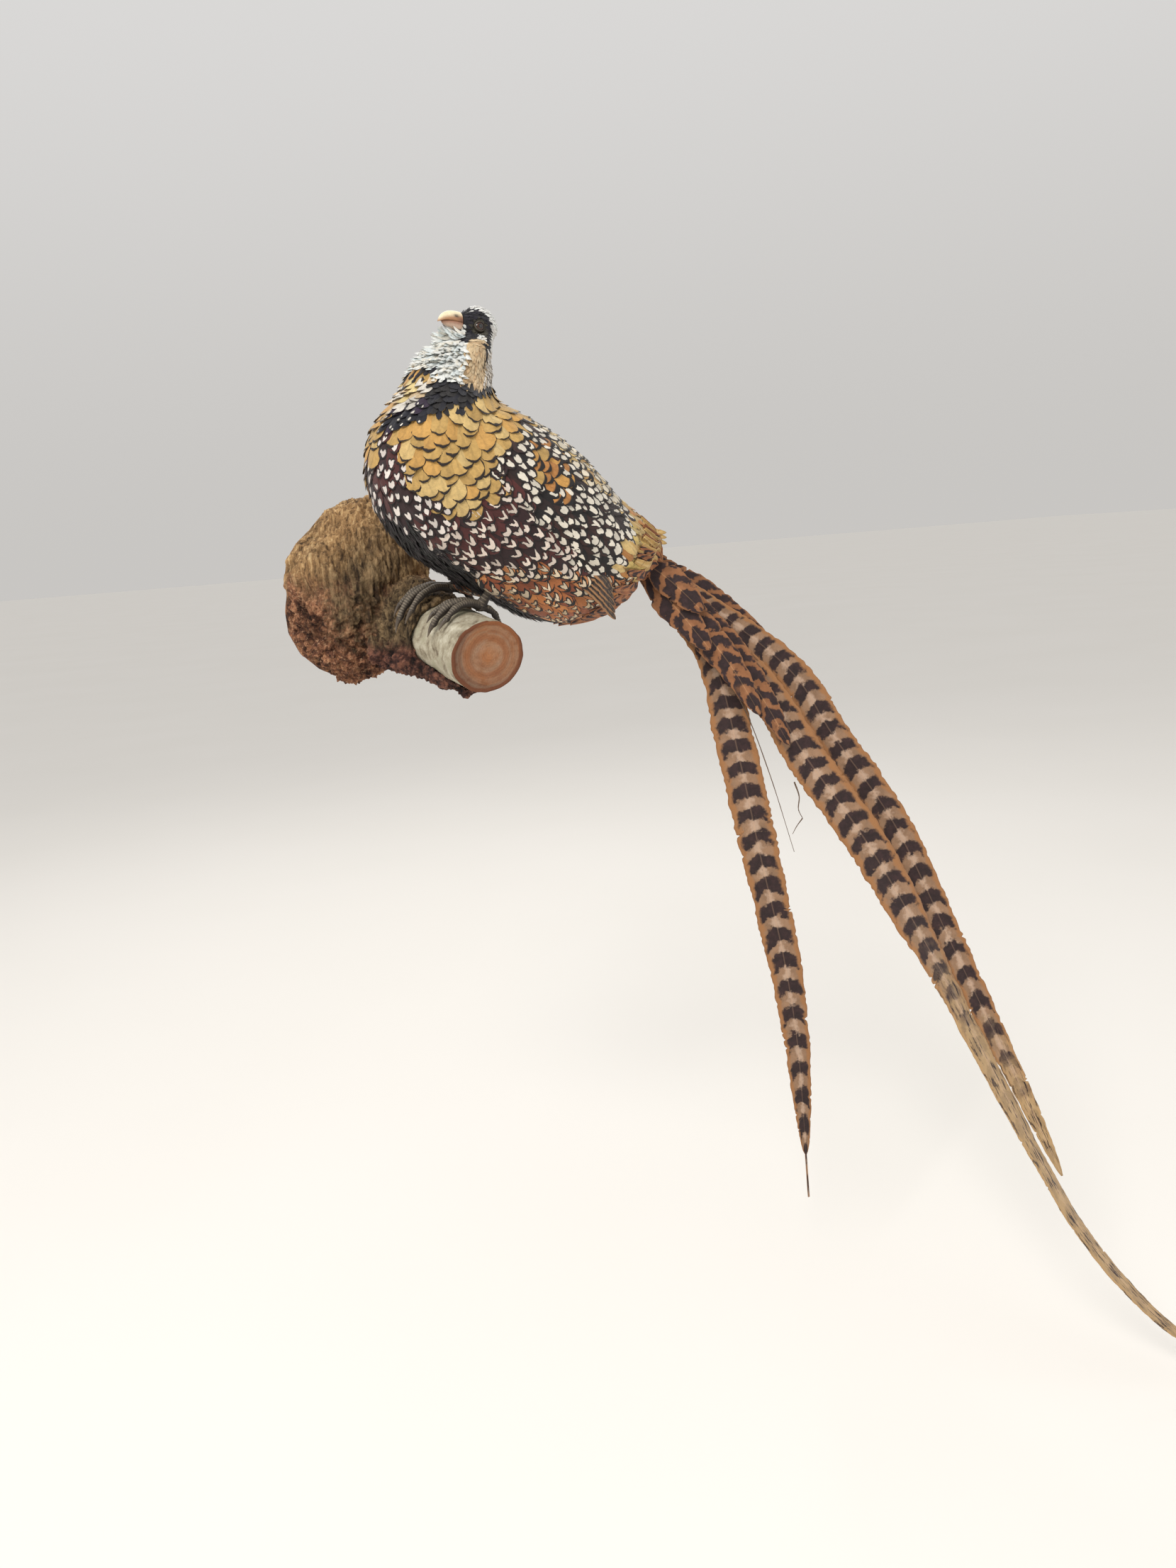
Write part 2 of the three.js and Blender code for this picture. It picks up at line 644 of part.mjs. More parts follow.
function add(name, geometry, look) {
  const mesh = new THREE.Mesh(geometry, new THREE.MeshStandardMaterial({ ...look, metalness: 0 }));
  mesh.name = name;
  pheasant.add(mesh);
}

add("log_branch", branch(), FINISHES.bark);
add("log_burl", carved(burl(), branch(GAP)), FINISHES.burl);
add("log_knee", carved(knee(), branch(GAP), burl(GAP)), FINISHES.burl);
add("log_rib", carved(rib(), branch(GAP), burl(GAP), knee(GAP)), FINISHES.burl);

add("rump", rump(0), FINISHES.gold);
add("trunk", trunk(0), FINISHES.maroon);
add("neck", carved(neck(0), head(GAP)), FINISHES.white);
add("head", carved(head(), eye(1, GAP), eye(-1, GAP)), FINISHES.white);
add("bill_upper", bill(1, BILL_LENGTH, UPPER_BILL_DEPTH), FINISHES.horn);
add("bill_lower", bill(-1, BILL_LENGTH * LOWER_BILL_SHARE, LOWER_BILL_DEPTH), FINISHES.horn);
add("eye_left", eye(1), FINISHES.eye);
add("eye_right", eye(-1), FINISHES.eye);

Object.entries({ left: 1, right: -1 }).forEach(([name, side]) => {
  const foot = FEET[name];
  const wood = [branch(GAP), knee(GAP)];
  const shank = tarsus(foot, side);
  add(`wing_${name}`, carved(wing(side), ...flesh(GAP)), FINISHES.maroon);
  add(`wing_tip_${name}`, carved(wingTip(side), ...flesh(GAP), wing(side)), FINISHES.black);
  add(`thigh_${name}`, carved(thigh(foot), ...flesh(GAP)), FINISHES.black);
  add(`tarsus_${name}`, carved(shank, ...flesh(GAP), thigh(foot, GAP), ...wood), FINISHES.leg);
  const done = [tarsus(foot, side, GAP * 2), ...wood];
  Object.entries(TOES).forEach(([digit, spec]) => {
    add(`toe_${name}_${digit}`, carved(toe(foot, spec), ...done), FINISHES.leg);
    done.push(toe(foot, spec, GAP));
  });
  Object.entries(TOES).forEach(([digit, spec]) => {
    add(`claw_${name}_${digit}`, carved(claw(foot, spec), ...done), FINISHES.claw);
  });
});

Object.entries(TAIL_FEATHERS).forEach(([name, feather]) => {
  add(name, carved(tailFeather(feather), ...flesh(GAP)), FINISHES.vane);
});

export default pheasant;
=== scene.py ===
"""A taxidermy Reeves's pheasant cock on a wall-hung log: its skin, plumage, head, feet, tail and log.

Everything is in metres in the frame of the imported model. The bird's left side faces -Y.
"""
import sys
import json
import logging
import math
from dataclasses import dataclass, field
from enum import IntEnum
from functools import partial
from typing import Any, Callable, Iterable, Optional, Sequence, Union

import bmesh
import bpy
import numpy as np
from mathutils import Matrix, Vector
from mathutils.kdtree import KDTree

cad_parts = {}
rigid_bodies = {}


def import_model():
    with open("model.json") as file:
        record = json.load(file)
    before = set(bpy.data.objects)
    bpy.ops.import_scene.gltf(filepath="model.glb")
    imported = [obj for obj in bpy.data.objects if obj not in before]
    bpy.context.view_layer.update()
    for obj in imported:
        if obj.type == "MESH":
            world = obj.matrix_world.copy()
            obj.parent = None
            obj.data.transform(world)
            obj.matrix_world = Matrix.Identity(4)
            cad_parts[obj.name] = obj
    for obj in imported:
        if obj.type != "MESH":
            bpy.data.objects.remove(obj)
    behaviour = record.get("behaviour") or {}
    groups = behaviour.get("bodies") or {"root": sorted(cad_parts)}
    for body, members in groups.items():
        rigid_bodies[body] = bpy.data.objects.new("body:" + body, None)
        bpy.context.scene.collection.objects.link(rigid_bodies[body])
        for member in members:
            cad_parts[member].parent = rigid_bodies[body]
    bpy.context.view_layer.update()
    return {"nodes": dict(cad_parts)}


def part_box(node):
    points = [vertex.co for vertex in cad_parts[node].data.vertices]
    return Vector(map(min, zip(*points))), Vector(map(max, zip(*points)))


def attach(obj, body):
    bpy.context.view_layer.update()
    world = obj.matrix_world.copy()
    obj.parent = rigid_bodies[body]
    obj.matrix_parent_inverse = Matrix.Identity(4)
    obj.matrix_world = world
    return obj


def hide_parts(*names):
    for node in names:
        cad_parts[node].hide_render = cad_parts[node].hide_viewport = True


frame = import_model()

SEED = 4711
MM = 0.001
Colour = tuple[float, float, float]
log = logging.getLogger("pheasant")


def rgb(red: float, green: float, blue: float) -> Colour:
    """A scene-linear colour from display values of 0 to 255."""
    return tuple(((c / 255 + 0.055) / 1.055) ** 2.4 if c > 10 else c / 3295 for c in (red, green, blue))


def times(colour: Colour, amount: float) -> Colour:
    """A colour made lighter or darker."""
    return tuple(amount * c for c in colour)


def blend(first: Any, second: Any, share: np.ndarray) -> np.ndarray:
    """Rows of colours between two by a share."""
    return np.asarray(first) * (1 - share[:, None]) + np.asarray(second) * share[:, None]


def smooth(low: float, high: float, value: np.ndarray) -> np.ndarray:
    """A soft step from 0 at low to 1 at high."""
    t = np.clip((np.asarray(value, float) - low) / (high - low), 0, 1)
    return t * t * (3 - 2 * t)


def unit(vectors: np.ndarray) -> np.ndarray:
    """The vectors at length one."""
    return vectors / np.maximum(np.linalg.norm(vectors, axis=-1, keepdims=True), 1e-12)


def hashed(values: np.ndarray, seed: float = 0.0) -> np.ndarray:
    """A fixed random number from 0 to 1 for each value."""
    return np.modf(np.abs(np.sin(np.asarray(values, float) * 127.1 + seed * 311.7) * 43758.5453))[0]


def wobble(values: np.ndarray, seed: float = 0.0) -> np.ndarray:
    """Smooth one-dimensional noise from -1 to 1."""
    base = np.floor(values)
    step = smooth(0, 1, values - base)
    return 2 * (hashed(base, seed) * (1 - step) + hashed(base + 1, seed) * step) - 1


# ------------------------------------------------------------------ node trees
class Term:
    """An output socket that takes part in arithmetic; each operator adds a Math node."""

    def __init__(self, sheet: "Sheet", socket: bpy.types.NodeSocket) -> None:
        """Wraps a socket of a sheet."""
        self.sheet, self.socket = sheet, socket

    def math(self, operation: str, *others: Any, first: Any = None) -> "Term":
        """Adds a Math node.

        Args:
            operation: the node's operation.
            others: its further operands.
            first: an operand that stands before this one.

        Returns:
            The result.
        """
        values = ([] if first is None else [first]) + [self, *others]
        return self.sheet.out("ShaderNodeMath", {"operation": operation}, dict(enumerate(values)))

    def __add__(self, other: Any) -> "Term":
        """self + other"""
        return self.math("ADD", other)

    __radd__ = __add__

    def __sub__(self, other: Any) -> "Term":
        """self - other"""
        return self.math("SUBTRACT", other)

    def __rsub__(self, other: Any) -> "Term":
        """other - self"""
        return self.math("SUBTRACT", first=other)

    def __mul__(self, other: Any) -> "Term":
        """self * other"""
        return self.math("MULTIPLY", other)

    __rmul__ = __mul__

    def __truediv__(self, other: Any) -> "Term":
        """self / other"""
        return self.math("DIVIDE", other)

    def __rtruediv__(self, other: Any) -> "Term":
        """other / self"""
        return self.math("DIVIDE", first=other)

    def __pow__(self, other: Any) -> "Term":
        """self ** other"""
        return self.math("POWER", other)

    def __abs__(self) -> "Term":
        """The size of self"""
        return self.math("ABSOLUTE")

    def step(self, low: Any, high: Any) -> "Term":
        """A soft step from 0 at low to 1 at high."""
        return self.sheet.out("ShaderNodeMapRange", {"interpolation_type": "SMOOTHSTEP"},
                              {"Value": self, "From Min": low, "From Max": high}, "Result")


class Sheet:
    """A node tree under construction, of a material or of Geometry Nodes."""

    def __init__(self, tree: bpy.types.NodeTree) -> None:
        """Takes the tree to fill."""
        self.tree = tree

    def node(self, kind: str, settings: Optional[dict] = None,
             sockets: Optional[dict] = None) -> bpy.types.Node:
        """Adds a node.

        Args:
            kind: the node's type.
            settings: its properties; "stops" fills its colour ramp.
            sockets: values or links of its inputs, by name or number.

        Returns:
            The node.
        """
        made = self.tree.nodes.new(kind)
        for name, value in (settings or {}).items():
            if name == "stops":
                ramp = made.color_ramp.elements
                for i, (place, colour) in enumerate(value):
                    stop = ramp[i] if i < len(ramp) else ramp.new(place)
                    stop.position, stop.color = place, (*colour, 1)
            else:
                setattr(made, name, value)
        for name, value in (sockets or {}).items():
            socket = made.inputs[name] if isinstance(name, int) else next(
                s for s in made.inputs if s.name == name and s.enabled)
            source = value.socket if isinstance(value, Term) else value
            if isinstance(source, bpy.types.NodeSocket):
                self.tree.links.new(source, socket)
            elif socket.type == "RGBA" and len(source) == 3:
                socket.default_value = (*source, 1)
            else:
                socket.default_value = source
        return made

    def out(self, kind: str, settings: Optional[dict] = None, sockets: Optional[dict] = None,
            name: Union[str, int] = 0) -> Term:
        """Adds a node and returns one of its enabled outputs as a term.

        Args:
            kind: the node's type.
            settings: its properties.
            sockets: its inputs.
            name: the output's name or number.

        Returns:
            The output.
        """
        made = self.node(kind, settings, sockets)
        if isinstance(name, int):
            return Term(self, [s for s in made.outputs if s.enabled][name])
        return Term(self, next(s for s in made.outputs if s.name == name and s.enabled))

    def vector(self, operation: str, *operands: Any, name: Union[str, int] = 0) -> Term:
        """Adds a Vector Math node; a number as the last operand of SCALE is its factor."""
        sockets = dict(zip((0, "Scale") if operation == "SCALE" else (0, 1), operands))
        return self.out("ShaderNodeVectorMath", {"operation": operation}, sockets, name)

    def split(self, vector: Any) -> tuple[Term, ...]:
        """A vector's three parts."""
        made = self.node("ShaderNodeSeparateXYZ", None, {0: vector})
        return tuple(Term(self, output) for output in made.outputs)


class Paint(Sheet):
    """A material's node tree, with the few nodes that its finishes share."""

    def __init__(self, name: str) -> None:
        """Starts a material.

        Args:
            name: its name.
        """
        self.material = bpy.data.materials.new(name)
        self.material.use_nodes = True
        super().__init__(self.material.node_tree)
        self.tree.nodes.clear()
        self.place = self.out("ShaderNodeTexCoord", name="Object")

    def attribute(self, name: str, output: str = "Color") -> Term:
        """Reads an attribute of the mesh."""
        return self.out("ShaderNodeAttribute", {"attribute_name": name}, name=output)

    def uv(self, name: str) -> tuple[Term, Term]:
        """The two coordinates of a UV map."""
        return self.split(self.out("ShaderNodeUVMap", {"uv_map": name}))[:2]

    def noise(self, scale: float, detail: float = 3.0, rough: float = 0.55,
              at: Optional[Term] = None) -> Term:
        """Noise from 0 to 1 at a place."""
        return self.out("ShaderNodeTexNoise", None, {
            "Vector": at or self.place, "Scale": scale, "Detail": detail, "Roughness": rough})

    def cells(self, scale: float) -> Term:
        """Distance to the nearest cell point."""
        return self.out("ShaderNodeTexVoronoi", None, {"Vector": self.place, "Scale": scale}, "Distance")

    def mix(self, share: Any, first: Any, second: Any) -> Term:
        """One colour turned into another by a share."""
        return self.out("ShaderNodeMix", {"data_type": "RGBA"}, {0: share, 6: first, 7: second}, "Result")

    def ramp(self, value: Any, stops: Sequence[tuple[float, Colour]]) -> Term:
        """A colour read from stops."""
        return self.out("ShaderNodeValToRGB", {"stops": stops}, {0: value})

    def shade(self, colour: Any, amount: Any) -> Term:
        """The colour times an amount."""
        return self.vector("SCALE", colour, amount)

    def bump(self, height: Any, distance: float, strength: float = 1.0) -> Term:
        """A normal from a height field."""
        return self.out("ShaderNodeBump", None,
                        {"Height": height, "Distance": distance, "Strength": strength})

    def finish(self, colour: Any, roughness: Any, normal: Optional[Term] = None,
               **constants: Any) -> bpy.types.Material:
        """Closes the material with its shader.

        Args:
            colour: base colour.
            roughness: roughness.
            normal: the normal, if it is bumped.
            constants: unlinked values of further sockets, named with underscores.

        Returns:
            The material.
        """
        sockets = {"Base Color": colour, "Roughness": roughness}
        if normal is not None:
            sockets["Normal"] = normal
        for name, value in constants.items():
            sockets[name.replace("_", " ").title().replace("Ior", "IOR")] = value
        shader = self.node("ShaderNodeBsdfPrincipled", None, sockets)
        self.node("ShaderNodeOutputMaterial", None, {"Surface": shader.outputs[0]})
        return self.material


def geometry_tree(name: str, inputs: dict[str, Union[str, float]]) -> tuple[Sheet, dict[str, Term]]:
    """Starts a Geometry Nodes tree.

    Args:
        name: its name.
        inputs: each further input's kind or, for a number, its default.

    Returns:
        The tree's sheet, and its inputs by name.
    """
    group = bpy.data.node_groups.new(name, "GeometryNodeTree")
    for way in ("INPUT", "OUTPUT"):
        group.interface.new_socket(name="Geometry", in_out=way, socket_type="NodeSocketGeometry")
    for key, given in inputs.items():
        kind = given if isinstance(given, str) else "Float"
        socket = group.interface.new_socket(name=key, in_out="INPUT", socket_type=f"NodeSocket{kind}")
        if kind == "Float":
            socket.default_value = given
    sheet = Sheet(group)
    outputs = sheet.node("NodeGroupInput").outputs
    return sheet, {output.name: Term(sheet, output) for output in outputs if output.name}


# ------------------------------------------------------------------ meshes
def linked(name: str, data: bpy.types.ID) -> bpy.types.Object:
    """Makes an object of the scene from its data."""
    made = bpy.data.objects.new(name, data)
    bpy.context.scene.collection.objects.link(made)
    return made


def new_object(name: str, verts: np.ndarray, faces: Iterable[Sequence[int]]) -> bpy.types.Object:
    """Makes a smooth mesh object of points in metres and faces told by point numbers.

    Args:
        name: its name.
        verts: its points, in metres.
        faces: its faces as point numbers.

    Returns:
        The object.
    """
    mesh = bpy.data.meshes.new(name)
    mesh.from_pydata(np.asarray(verts, float).tolist(), [], [tuple(int(i) for i in f) for f in faces])
    mesh.shade_smooth()
    return linked(name, mesh)


def points_of(mesh: bpy.types.Mesh, key: str = "co") -> np.ndarray:
    """A mesh's vertex places or normals as rows."""
    data = np.zeros(len(mesh.vertices) * 3, np.float32)
    mesh.vertices.foreach_get(key, data)
    return data.reshape(-1, 3).astype(float)


def put_points(mesh: bpy.types.Mesh, places: np.ndarray) -> None:
    """Moves a mesh's vertices to new places."""
    mesh.vertices.foreach_set("co", places.astype(np.float32).ravel())


def store(mesh: bpy.types.Mesh, name: str, values: np.ndarray) -> None:
    """Stores a value for each vertex: one number, three for a vector, or a whole number.

    Args:
        mesh: the mesh.
        name: the attribute's name.
        values: a row or a number for each vertex.
    """
    values = np.asarray(values)
    kind = "FLOAT_VECTOR" if values.ndim == 2 else "INT" if values.dtype.kind == "i" else "FLOAT"
    layer = mesh.attributes.new(name, kind, "POINT")
    layer.data.foreach_set("vector" if values.ndim == 2 else "value",
                           values.astype(np.int32 if kind == "INT" else np.float32).ravel())


def corner_map(mesh: bpy.types.Mesh, name: str, values: np.ndarray) -> None:
    """Makes a UV map from a pair of numbers for each vertex.

    Args:
        mesh: the mesh.
        name: the map's name.
        values: a pair for each vertex.
    """
    layer = mesh.uv_layers.new(name=name)
    index = np.zeros(len(mesh.loops), np.int32)
    mesh.loops.foreach_get("vertex_index", index)
    layer.data.foreach_set("uv", np.asarray(values, np.float32)[index].ravel())


def ring_faces(rows: int, around: int, start: int = 0, closed: bool = True) -> list[tuple[int, ...]]:
    """Quads between rows of rings of points, facing out when the rings turn left round the way.

    Args:
        rows: how many rings.
        around: points in each.
        start: the first point's number.
        closed: whether each ring joins up.

    Returns:
        The faces.
    """
    last = around if closed else around - 1
    return [(start + r * around + c, start + r * around + (c + 1) % around,
             start + (r + 1) * around + (c + 1) % around, start + (r + 1) * around + c)
            for r in range(rows - 1) for c in range(last)]


def tube(name: str, rings: np.ndarray) -> bpy.types.Object:
    """A closed skin over rings of points, capped by fans at both ends, faces turned outwards.

    Args:
        name: the piece's name.
        rings: points by row and place round it.

    Returns:
        The piece. Its last two points are the ends' middles.
    """
    rows, around = rings.shape[:2]
    verts = np.concatenate([rings.reshape(-1, 3), rings[0].mean(0)[None], rings[-1].mean(0)[None]])
    first, last = rows * around, rows * around + 1
    faces = ring_faces(rows, around)
    faces += [(first, (c + 1) % around, c) for c in range(around)]
    end = (rows - 1) * around
    faces += [(last, end + c, end + (c + 1) % around) for c in range(around)]
    made = new_object(name, verts, faces)
    outward(made)
    return made


def round_line(middle: np.ndarray, up: np.ndarray, tall: np.ndarray, wide: np.ndarray,
               around: int) -> np.ndarray:
    """Oval rings along a line.

    Args:
        middle: the line's points.
        up: the ovals' way up, for all or by row.
        tall: half heights by row, or by row and place.
        wide: half widths likewise.
        around: places in each ring.

    Returns:
        Points by row and place.
    """
    way = unit(np.gradient(middle, axis=0))
    side = unit(np.cross(way, up))
    rise = np.cross(side, way)
    turns = np.linspace(0, math.tau, around, endpoint=False)
    return (middle[:, None] + side[:, None] * (np.sin(turns) * wide)[..., None]
            + rise[:, None] * (np.cos(turns) * tall)[..., None])


def outward(made: bpy.types.Object) -> None:
    """Turns a closed mesh's faces outwards.

    Args:
        made: the object.
    """
    cast = bmesh.new()
    cast.from_mesh(made.data)
    bmesh.ops.recalc_face_normals(cast, faces=cast.faces)
    cast.to_mesh(made.data)
    cast.free()


def applied(made: bpy.types.Object) -> None:
    """Turns an object's modifiers into plain mesh.

    Args:
        made: the object.
    """
    deps = bpy.context.evaluated_depsgraph_get()
    mesh = bpy.data.meshes.new_from_object(made.evaluated_get(deps), preserve_all_data_layers=True,
                                           depsgraph=deps)
    made.modifiers.clear()
    made.data = mesh


def copied(name: str, nodes: Sequence[str], grow: float) -> bpy.types.Object:
    """One mesh joined from copies of CAD nodes, their corners merged, and grown along its normals.

    Args:
        name: the new object's name.
        nodes: the nodes to copy.
        grow: how far the mesh grows, in metres.

    Returns:
        The object.
    """
    cast = bmesh.new()
    for node in nodes:
        cast.from_mesh(frame["nodes"][node].data)
    bmesh.ops.remove_doubles(cast, verts=cast.verts, dist=1e-6)
    mesh = bpy.data.meshes.new(name)
    cast.to_mesh(mesh)
    cast.free()
    put_points(mesh, points_of(mesh) + points_of(mesh, "normal") * grow)
    return linked(name, mesh)


def remeshed(made: bpy.types.Object, voxel: float, passes: int) -> None:
    """Remeshes an object to an even grid and smooths it, keeping only its largest body.

    Args:
        made: the object.
        voxel: the grid's size, in metres.
        passes: how often it is smoothed.
    """
    remesh = made.modifiers.new("remesh", "REMESH")
    remesh.mode, remesh.voxel_size, remesh.use_smooth_shade = "VOXEL", voxel, True
    soften = made.modifiers.new("soften", "SMOOTH")
    soften.factor, soften.iterations = 0.5, passes
    applied(made)
    cast = bmesh.new()
    cast.from_mesh(made.data)
    left, bodies = set(cast.verts), []
    while left:
        body, edge = set(), [left.pop()]
        while edge:
            vert = edge.pop()
            body.add(vert)
            for link in vert.link_edges:
                other = link.other_vert(vert)
                if other in left:
                    left.discard(other)
                    edge.append(other)
        bodies.append(body)
    bodies.sort(key=len)
    bmesh.ops.delete(cast, geom=[v for body in bodies[:-1] for v in body])
    cast.to_mesh(made.data)
    cast.free()


def ridden(made: bpy.types.Object, slot: str, *nodes: str) -> None:
    """Gives a piece its body and hides the CAD nodes that it stands for.

    Args:
        made: the piece.
        slot: its finish slot; not used.
        nodes: the nodes, if any.
    """
    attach(made, "root")
    if nodes:
        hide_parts(*nodes)
    log.info("%s: %d triangles", made.name, sum(len(face.vertices) - 2 for face in made.data.polygons))


def dressed(made: bpy.types.Object, material: bpy.types.Material, slot: str, *nodes: str) -> None:
    """Gives a piece its material and its body, and hides the CAD nodes that it stands for.

    Args:
        made: the piece.
        material: its material.
        slot: its finish slot.
        nodes: the nodes, if any.
    """
    made.data.materials.clear()
    made.data.materials.append(material)
    ridden(made, slot, *nodes)


def spline(points: Sequence[Sequence[float]], count: int) -> np.ndarray:
    """Evenly spaced points along a centripetal Catmull-Rom curve.

    Args:
        points: the points that the curve passes.
        count: how many to return.

    Returns:
        Rows of points.
    """
    p = np.asarray(points, float)
    p = np.concatenate([[2 * p[0] - p[1]], p, [2 * p[-1] - p[-2]]])
    knots = np.concatenate([[0], np.cumsum(np.linalg.norm(np.diff(p, axis=0), axis=1) ** 0.5)])
    fine = []
    for i in range(1, len(p) - 2):
        t = np.linspace(knots[i], knots[i + 1], 40, endpoint=False)[:, None]

        def lean(a: np.ndarray, b: np.ndarray, low: float, high: float) -> np.ndarray:
            """Between two points by the knots at them."""
            return (a * (high - t) + b * (t - low)) / (high - low)
        a1, a2, a3 = (lean(p[i + k - 1], p[i + k], knots[i + k - 1], knots[i + k]) for k in range(3))
        b1, b2 = lean(a1, a2, knots[i - 1], knots[i + 1]), lean(a2, a3, knots[i], knots[i + 2])
        fine.append(lean(b1, b2, knots[i], knots[i + 1]))
    fine = np.concatenate([*fine, p[-2][None]])
    way = np.concatenate([[0], np.cumsum(np.linalg.norm(np.diff(fine, axis=0), axis=1))])
    even = np.linspace(0, way[-1], count)
    return np.stack([np.interp(even, way, fine[:, k]) for k in range(3)], 1)


# ------------------------------------------------------------------ the bird's own axes
UP = np.array([0.0, 0.0, 1.0])


def level(turn: float) -> np.ndarray:
    """A level direction turned out from -X towards -Y by so many degrees."""
    return np.array([-math.cos(math.radians(turn)), -math.sin(math.radians(turn)), 0.0])


@dataclass(frozen=True)
class Course:
    """The body's run of cross-sections from rump to neck, and places told by it.

    A section holds its middle (forward and up, mm), the spine's pitch, and half its width, rise and drop.
    """

    place: tuple[float, float, float] = (104, -175, 70)
    turn: float = 12
    sections: tuple[tuple[float, ...], ...] = (
        (-161, -58, 38, 24, 19, 20), (-150, -63, 39, 40, 34, 38), (-133, -68, 40, 54, 52, 58),
        (-110, -62, 40, 64, 64, 72), (-80, -48, 40, 71, 74, 82), (-45, -24, 40, 75, 83, 86),
        (-8, 0, 41, 77, 87, 88), (26, 22, 44, 76, 85, 90), (50, 46, 52, 71, 77, 87),
        (60, 72, 64, 63, 67, 77), (55, 94, 74, 55, 57, 64), (42, 111, 82, 45, 46, 47),
        (30, 128, 88, 37, 42, 45), (20, 142, 88, 29, 34, 39), (11, 153, 86, 20, 22, 29))
    fine: tuple[float, float] = (0.07, 3.0)

    def section(self, number: np.ndarray) -> np.ndarray:
        """The section at whole or part numbers.

        Args:
            number: section numbers.

        Returns:
            A row of the section's six measures for each.
        """
        table = np.array(self.sections, float)
        table = np.concatenate([[2 * table[0] - table[1]], table, [2 * table[-1] - table[-2]]])
        i = np.clip(np.floor(number).astype(int), 0, len(self.sections) - 2)
        t = (number - i)[..., None]
        a, b, c, d = (table[i + k] for k in range(4))
        return 0.5 * (2 * b + (c - a) * t + (2 * a - 5 * b + 4 * c - d) * t ** 2
                      + (3 * b - a - 3 * c + d) * t ** 3)

    def point(self, along: Any, left: Any, up: Any) -> np.ndarray:
        """A point forward of the body's middle, to its left and above it, from mm to metres.

        Args:
            along: mm forward.
            left: mm to the left.
            up: mm up.

        Returns:
            Places in metres.
        """
        ahead = level(self.turn)
        side = np.cross(UP, ahead)
        return MM * (np.array(self.place) + np.multiply.outer(along, ahead) + np.multiply.outer(left, side)
                     + np.multiply.outer(up, UP))

    def surface(self, number: np.ndarray, angle: np.ndarray) -> np.ndarray:
        """A point of the body's outside at a section number and an angle down from the back to the left.

        Args:
            number: section numbers.
            angle: angles, in degrees.

        Returns:
            Places in metres.
        """
        cut = self.section(number)
        pitch, turn = np.radians(cut[..., 2]), np.radians(angle)
        reach = np.cos(turn) * np.where(np.cos(turn) > 0, cut[..., 4], cut[..., 5])
        return self.point(cut[..., 0] - np.sin(pitch) * reach, np.sin(turn) * cut[..., 3],
                          cut[..., 1] + np.cos(pitch) * reach)

    def locate(self, places: np.ndarray) -> tuple[np.ndarray, np.ndarray, np.ndarray]:
        """Tells places by the body.

        Args:
            places: rows of points in metres.

        Returns:
            Their section numbers, their angles, and the way down the bird at each.
        """
        last = len(self.sections) - 1
        numbers, angles = np.meshgrid(np.arange(0, last + 0.001, self.fine[0]),
                                      np.arange(0, 360, self.fine[1]), indexing="ij")
        net = self.surface(numbers, angles)
        down = unit(-np.gradient(net, axis=0)).reshape(-1, 3)
        tree = KDTree(numbers.size)
        for i, point in enumerate(net.reshape(-1, 3).tolist()):
            tree.insert(point, i)
        tree.balance()
        near = np.array([tree.find(point)[1] for point in places.tolist()])
        return numbers.ravel()[near], angles.ravel()[near], down[near]


@dataclass(frozen=True)
class HeadAxes:
    """The head's own axes, level but for its lift."""

    place: tuple[float, float, float] = (98, -180, 233)
    turn: float = 25
    lift: float = 9

    def axes(self) -> np.ndarray:
        """Forward, left and up as rows."""
        side = np.cross(UP, level(self.turn))
        ahead = level(self.turn) * math.cos(math.radians(self.lift)) + UP * math.sin(math.radians(self.lift))
        return np.stack([ahead, side, np.cross(ahead, side)])

    def point(self, forward: Any, left: Any, up: Any) -> np.ndarray:
        """A point by the head's axes, from mm to metres."""
        here = np.stack(np.broadcast_arrays(forward, left, up), -1)
        return MM * (np.array(self.place) + here @ self.axes())

    def locate(self, places: np.ndarray) -> np.ndarray:
        """Forward, left and up of places, in mm."""
        return (places / MM - np.array(self.place)) @ self.axes().T


BODY = Course()
HEAD = HeadAxes()


# ------------------------------------------------------------------ markings
class Tract(IntEnum):
    """The fields of plumage, in the order in which they are laid over one another."""

    MANTLE = 0
    COVERT = 1
    CHEVRON = 2
    CHEST = 3
    SCAPULAR = 4
    CINNAMON = 5
    BELLY = 6
    RUMP = 7
    COLLAR = 8
    RUFF_PALE = 9
    RUFF_DARK = 10
    NECK = 11
    THROAT = 12
    NAPE = 13
    BAND = 14
    CROWN = 15
    MASK = 16
    LORES = 17
    CHEEK = 18
    THIGH = 19
    BACK = 20
    AMBER = 21
    BEARD = 22


class Cut(IntEnum):
    """The shapes that a feather is cut to: the number of its first template."""

    VANE = 0
    LONG = 4
    SMALL = 6
    TUFT = 9


VARIANTS = {Cut.VANE: 4, Cut.LONG: 2, Cut.SMALL: 3, Cut.TUFT: 3}


@dataclass(frozen=True)
class Feather:
    """One tract's feather: its size and spacing in mm, its colours and its mark.

    The mark is an oval or, with a bend, a chevron: half its width as a share of the vane's, half its
    length and its middle as shares of the vane's length. The rim and ring are dark borders.
    """

    spacing: float
    width: float
    length: float
    lift: float
    tones: tuple[Colour, ...]
    mark_tone: Colour = (0, 0, 0)
    edge_tone: Colour = (0.01, 0.008, 0.008)
    mark: tuple[float, float, float] = (0.01, 0.01, 0.5)
    bend: float = 0.0
    rim: float = 0.0
    ring: float = 0.3
    cut: Cut = Cut.VANE
    wrap: float = 1.0
    spread: float = 6.0
    vary: float = 0.14


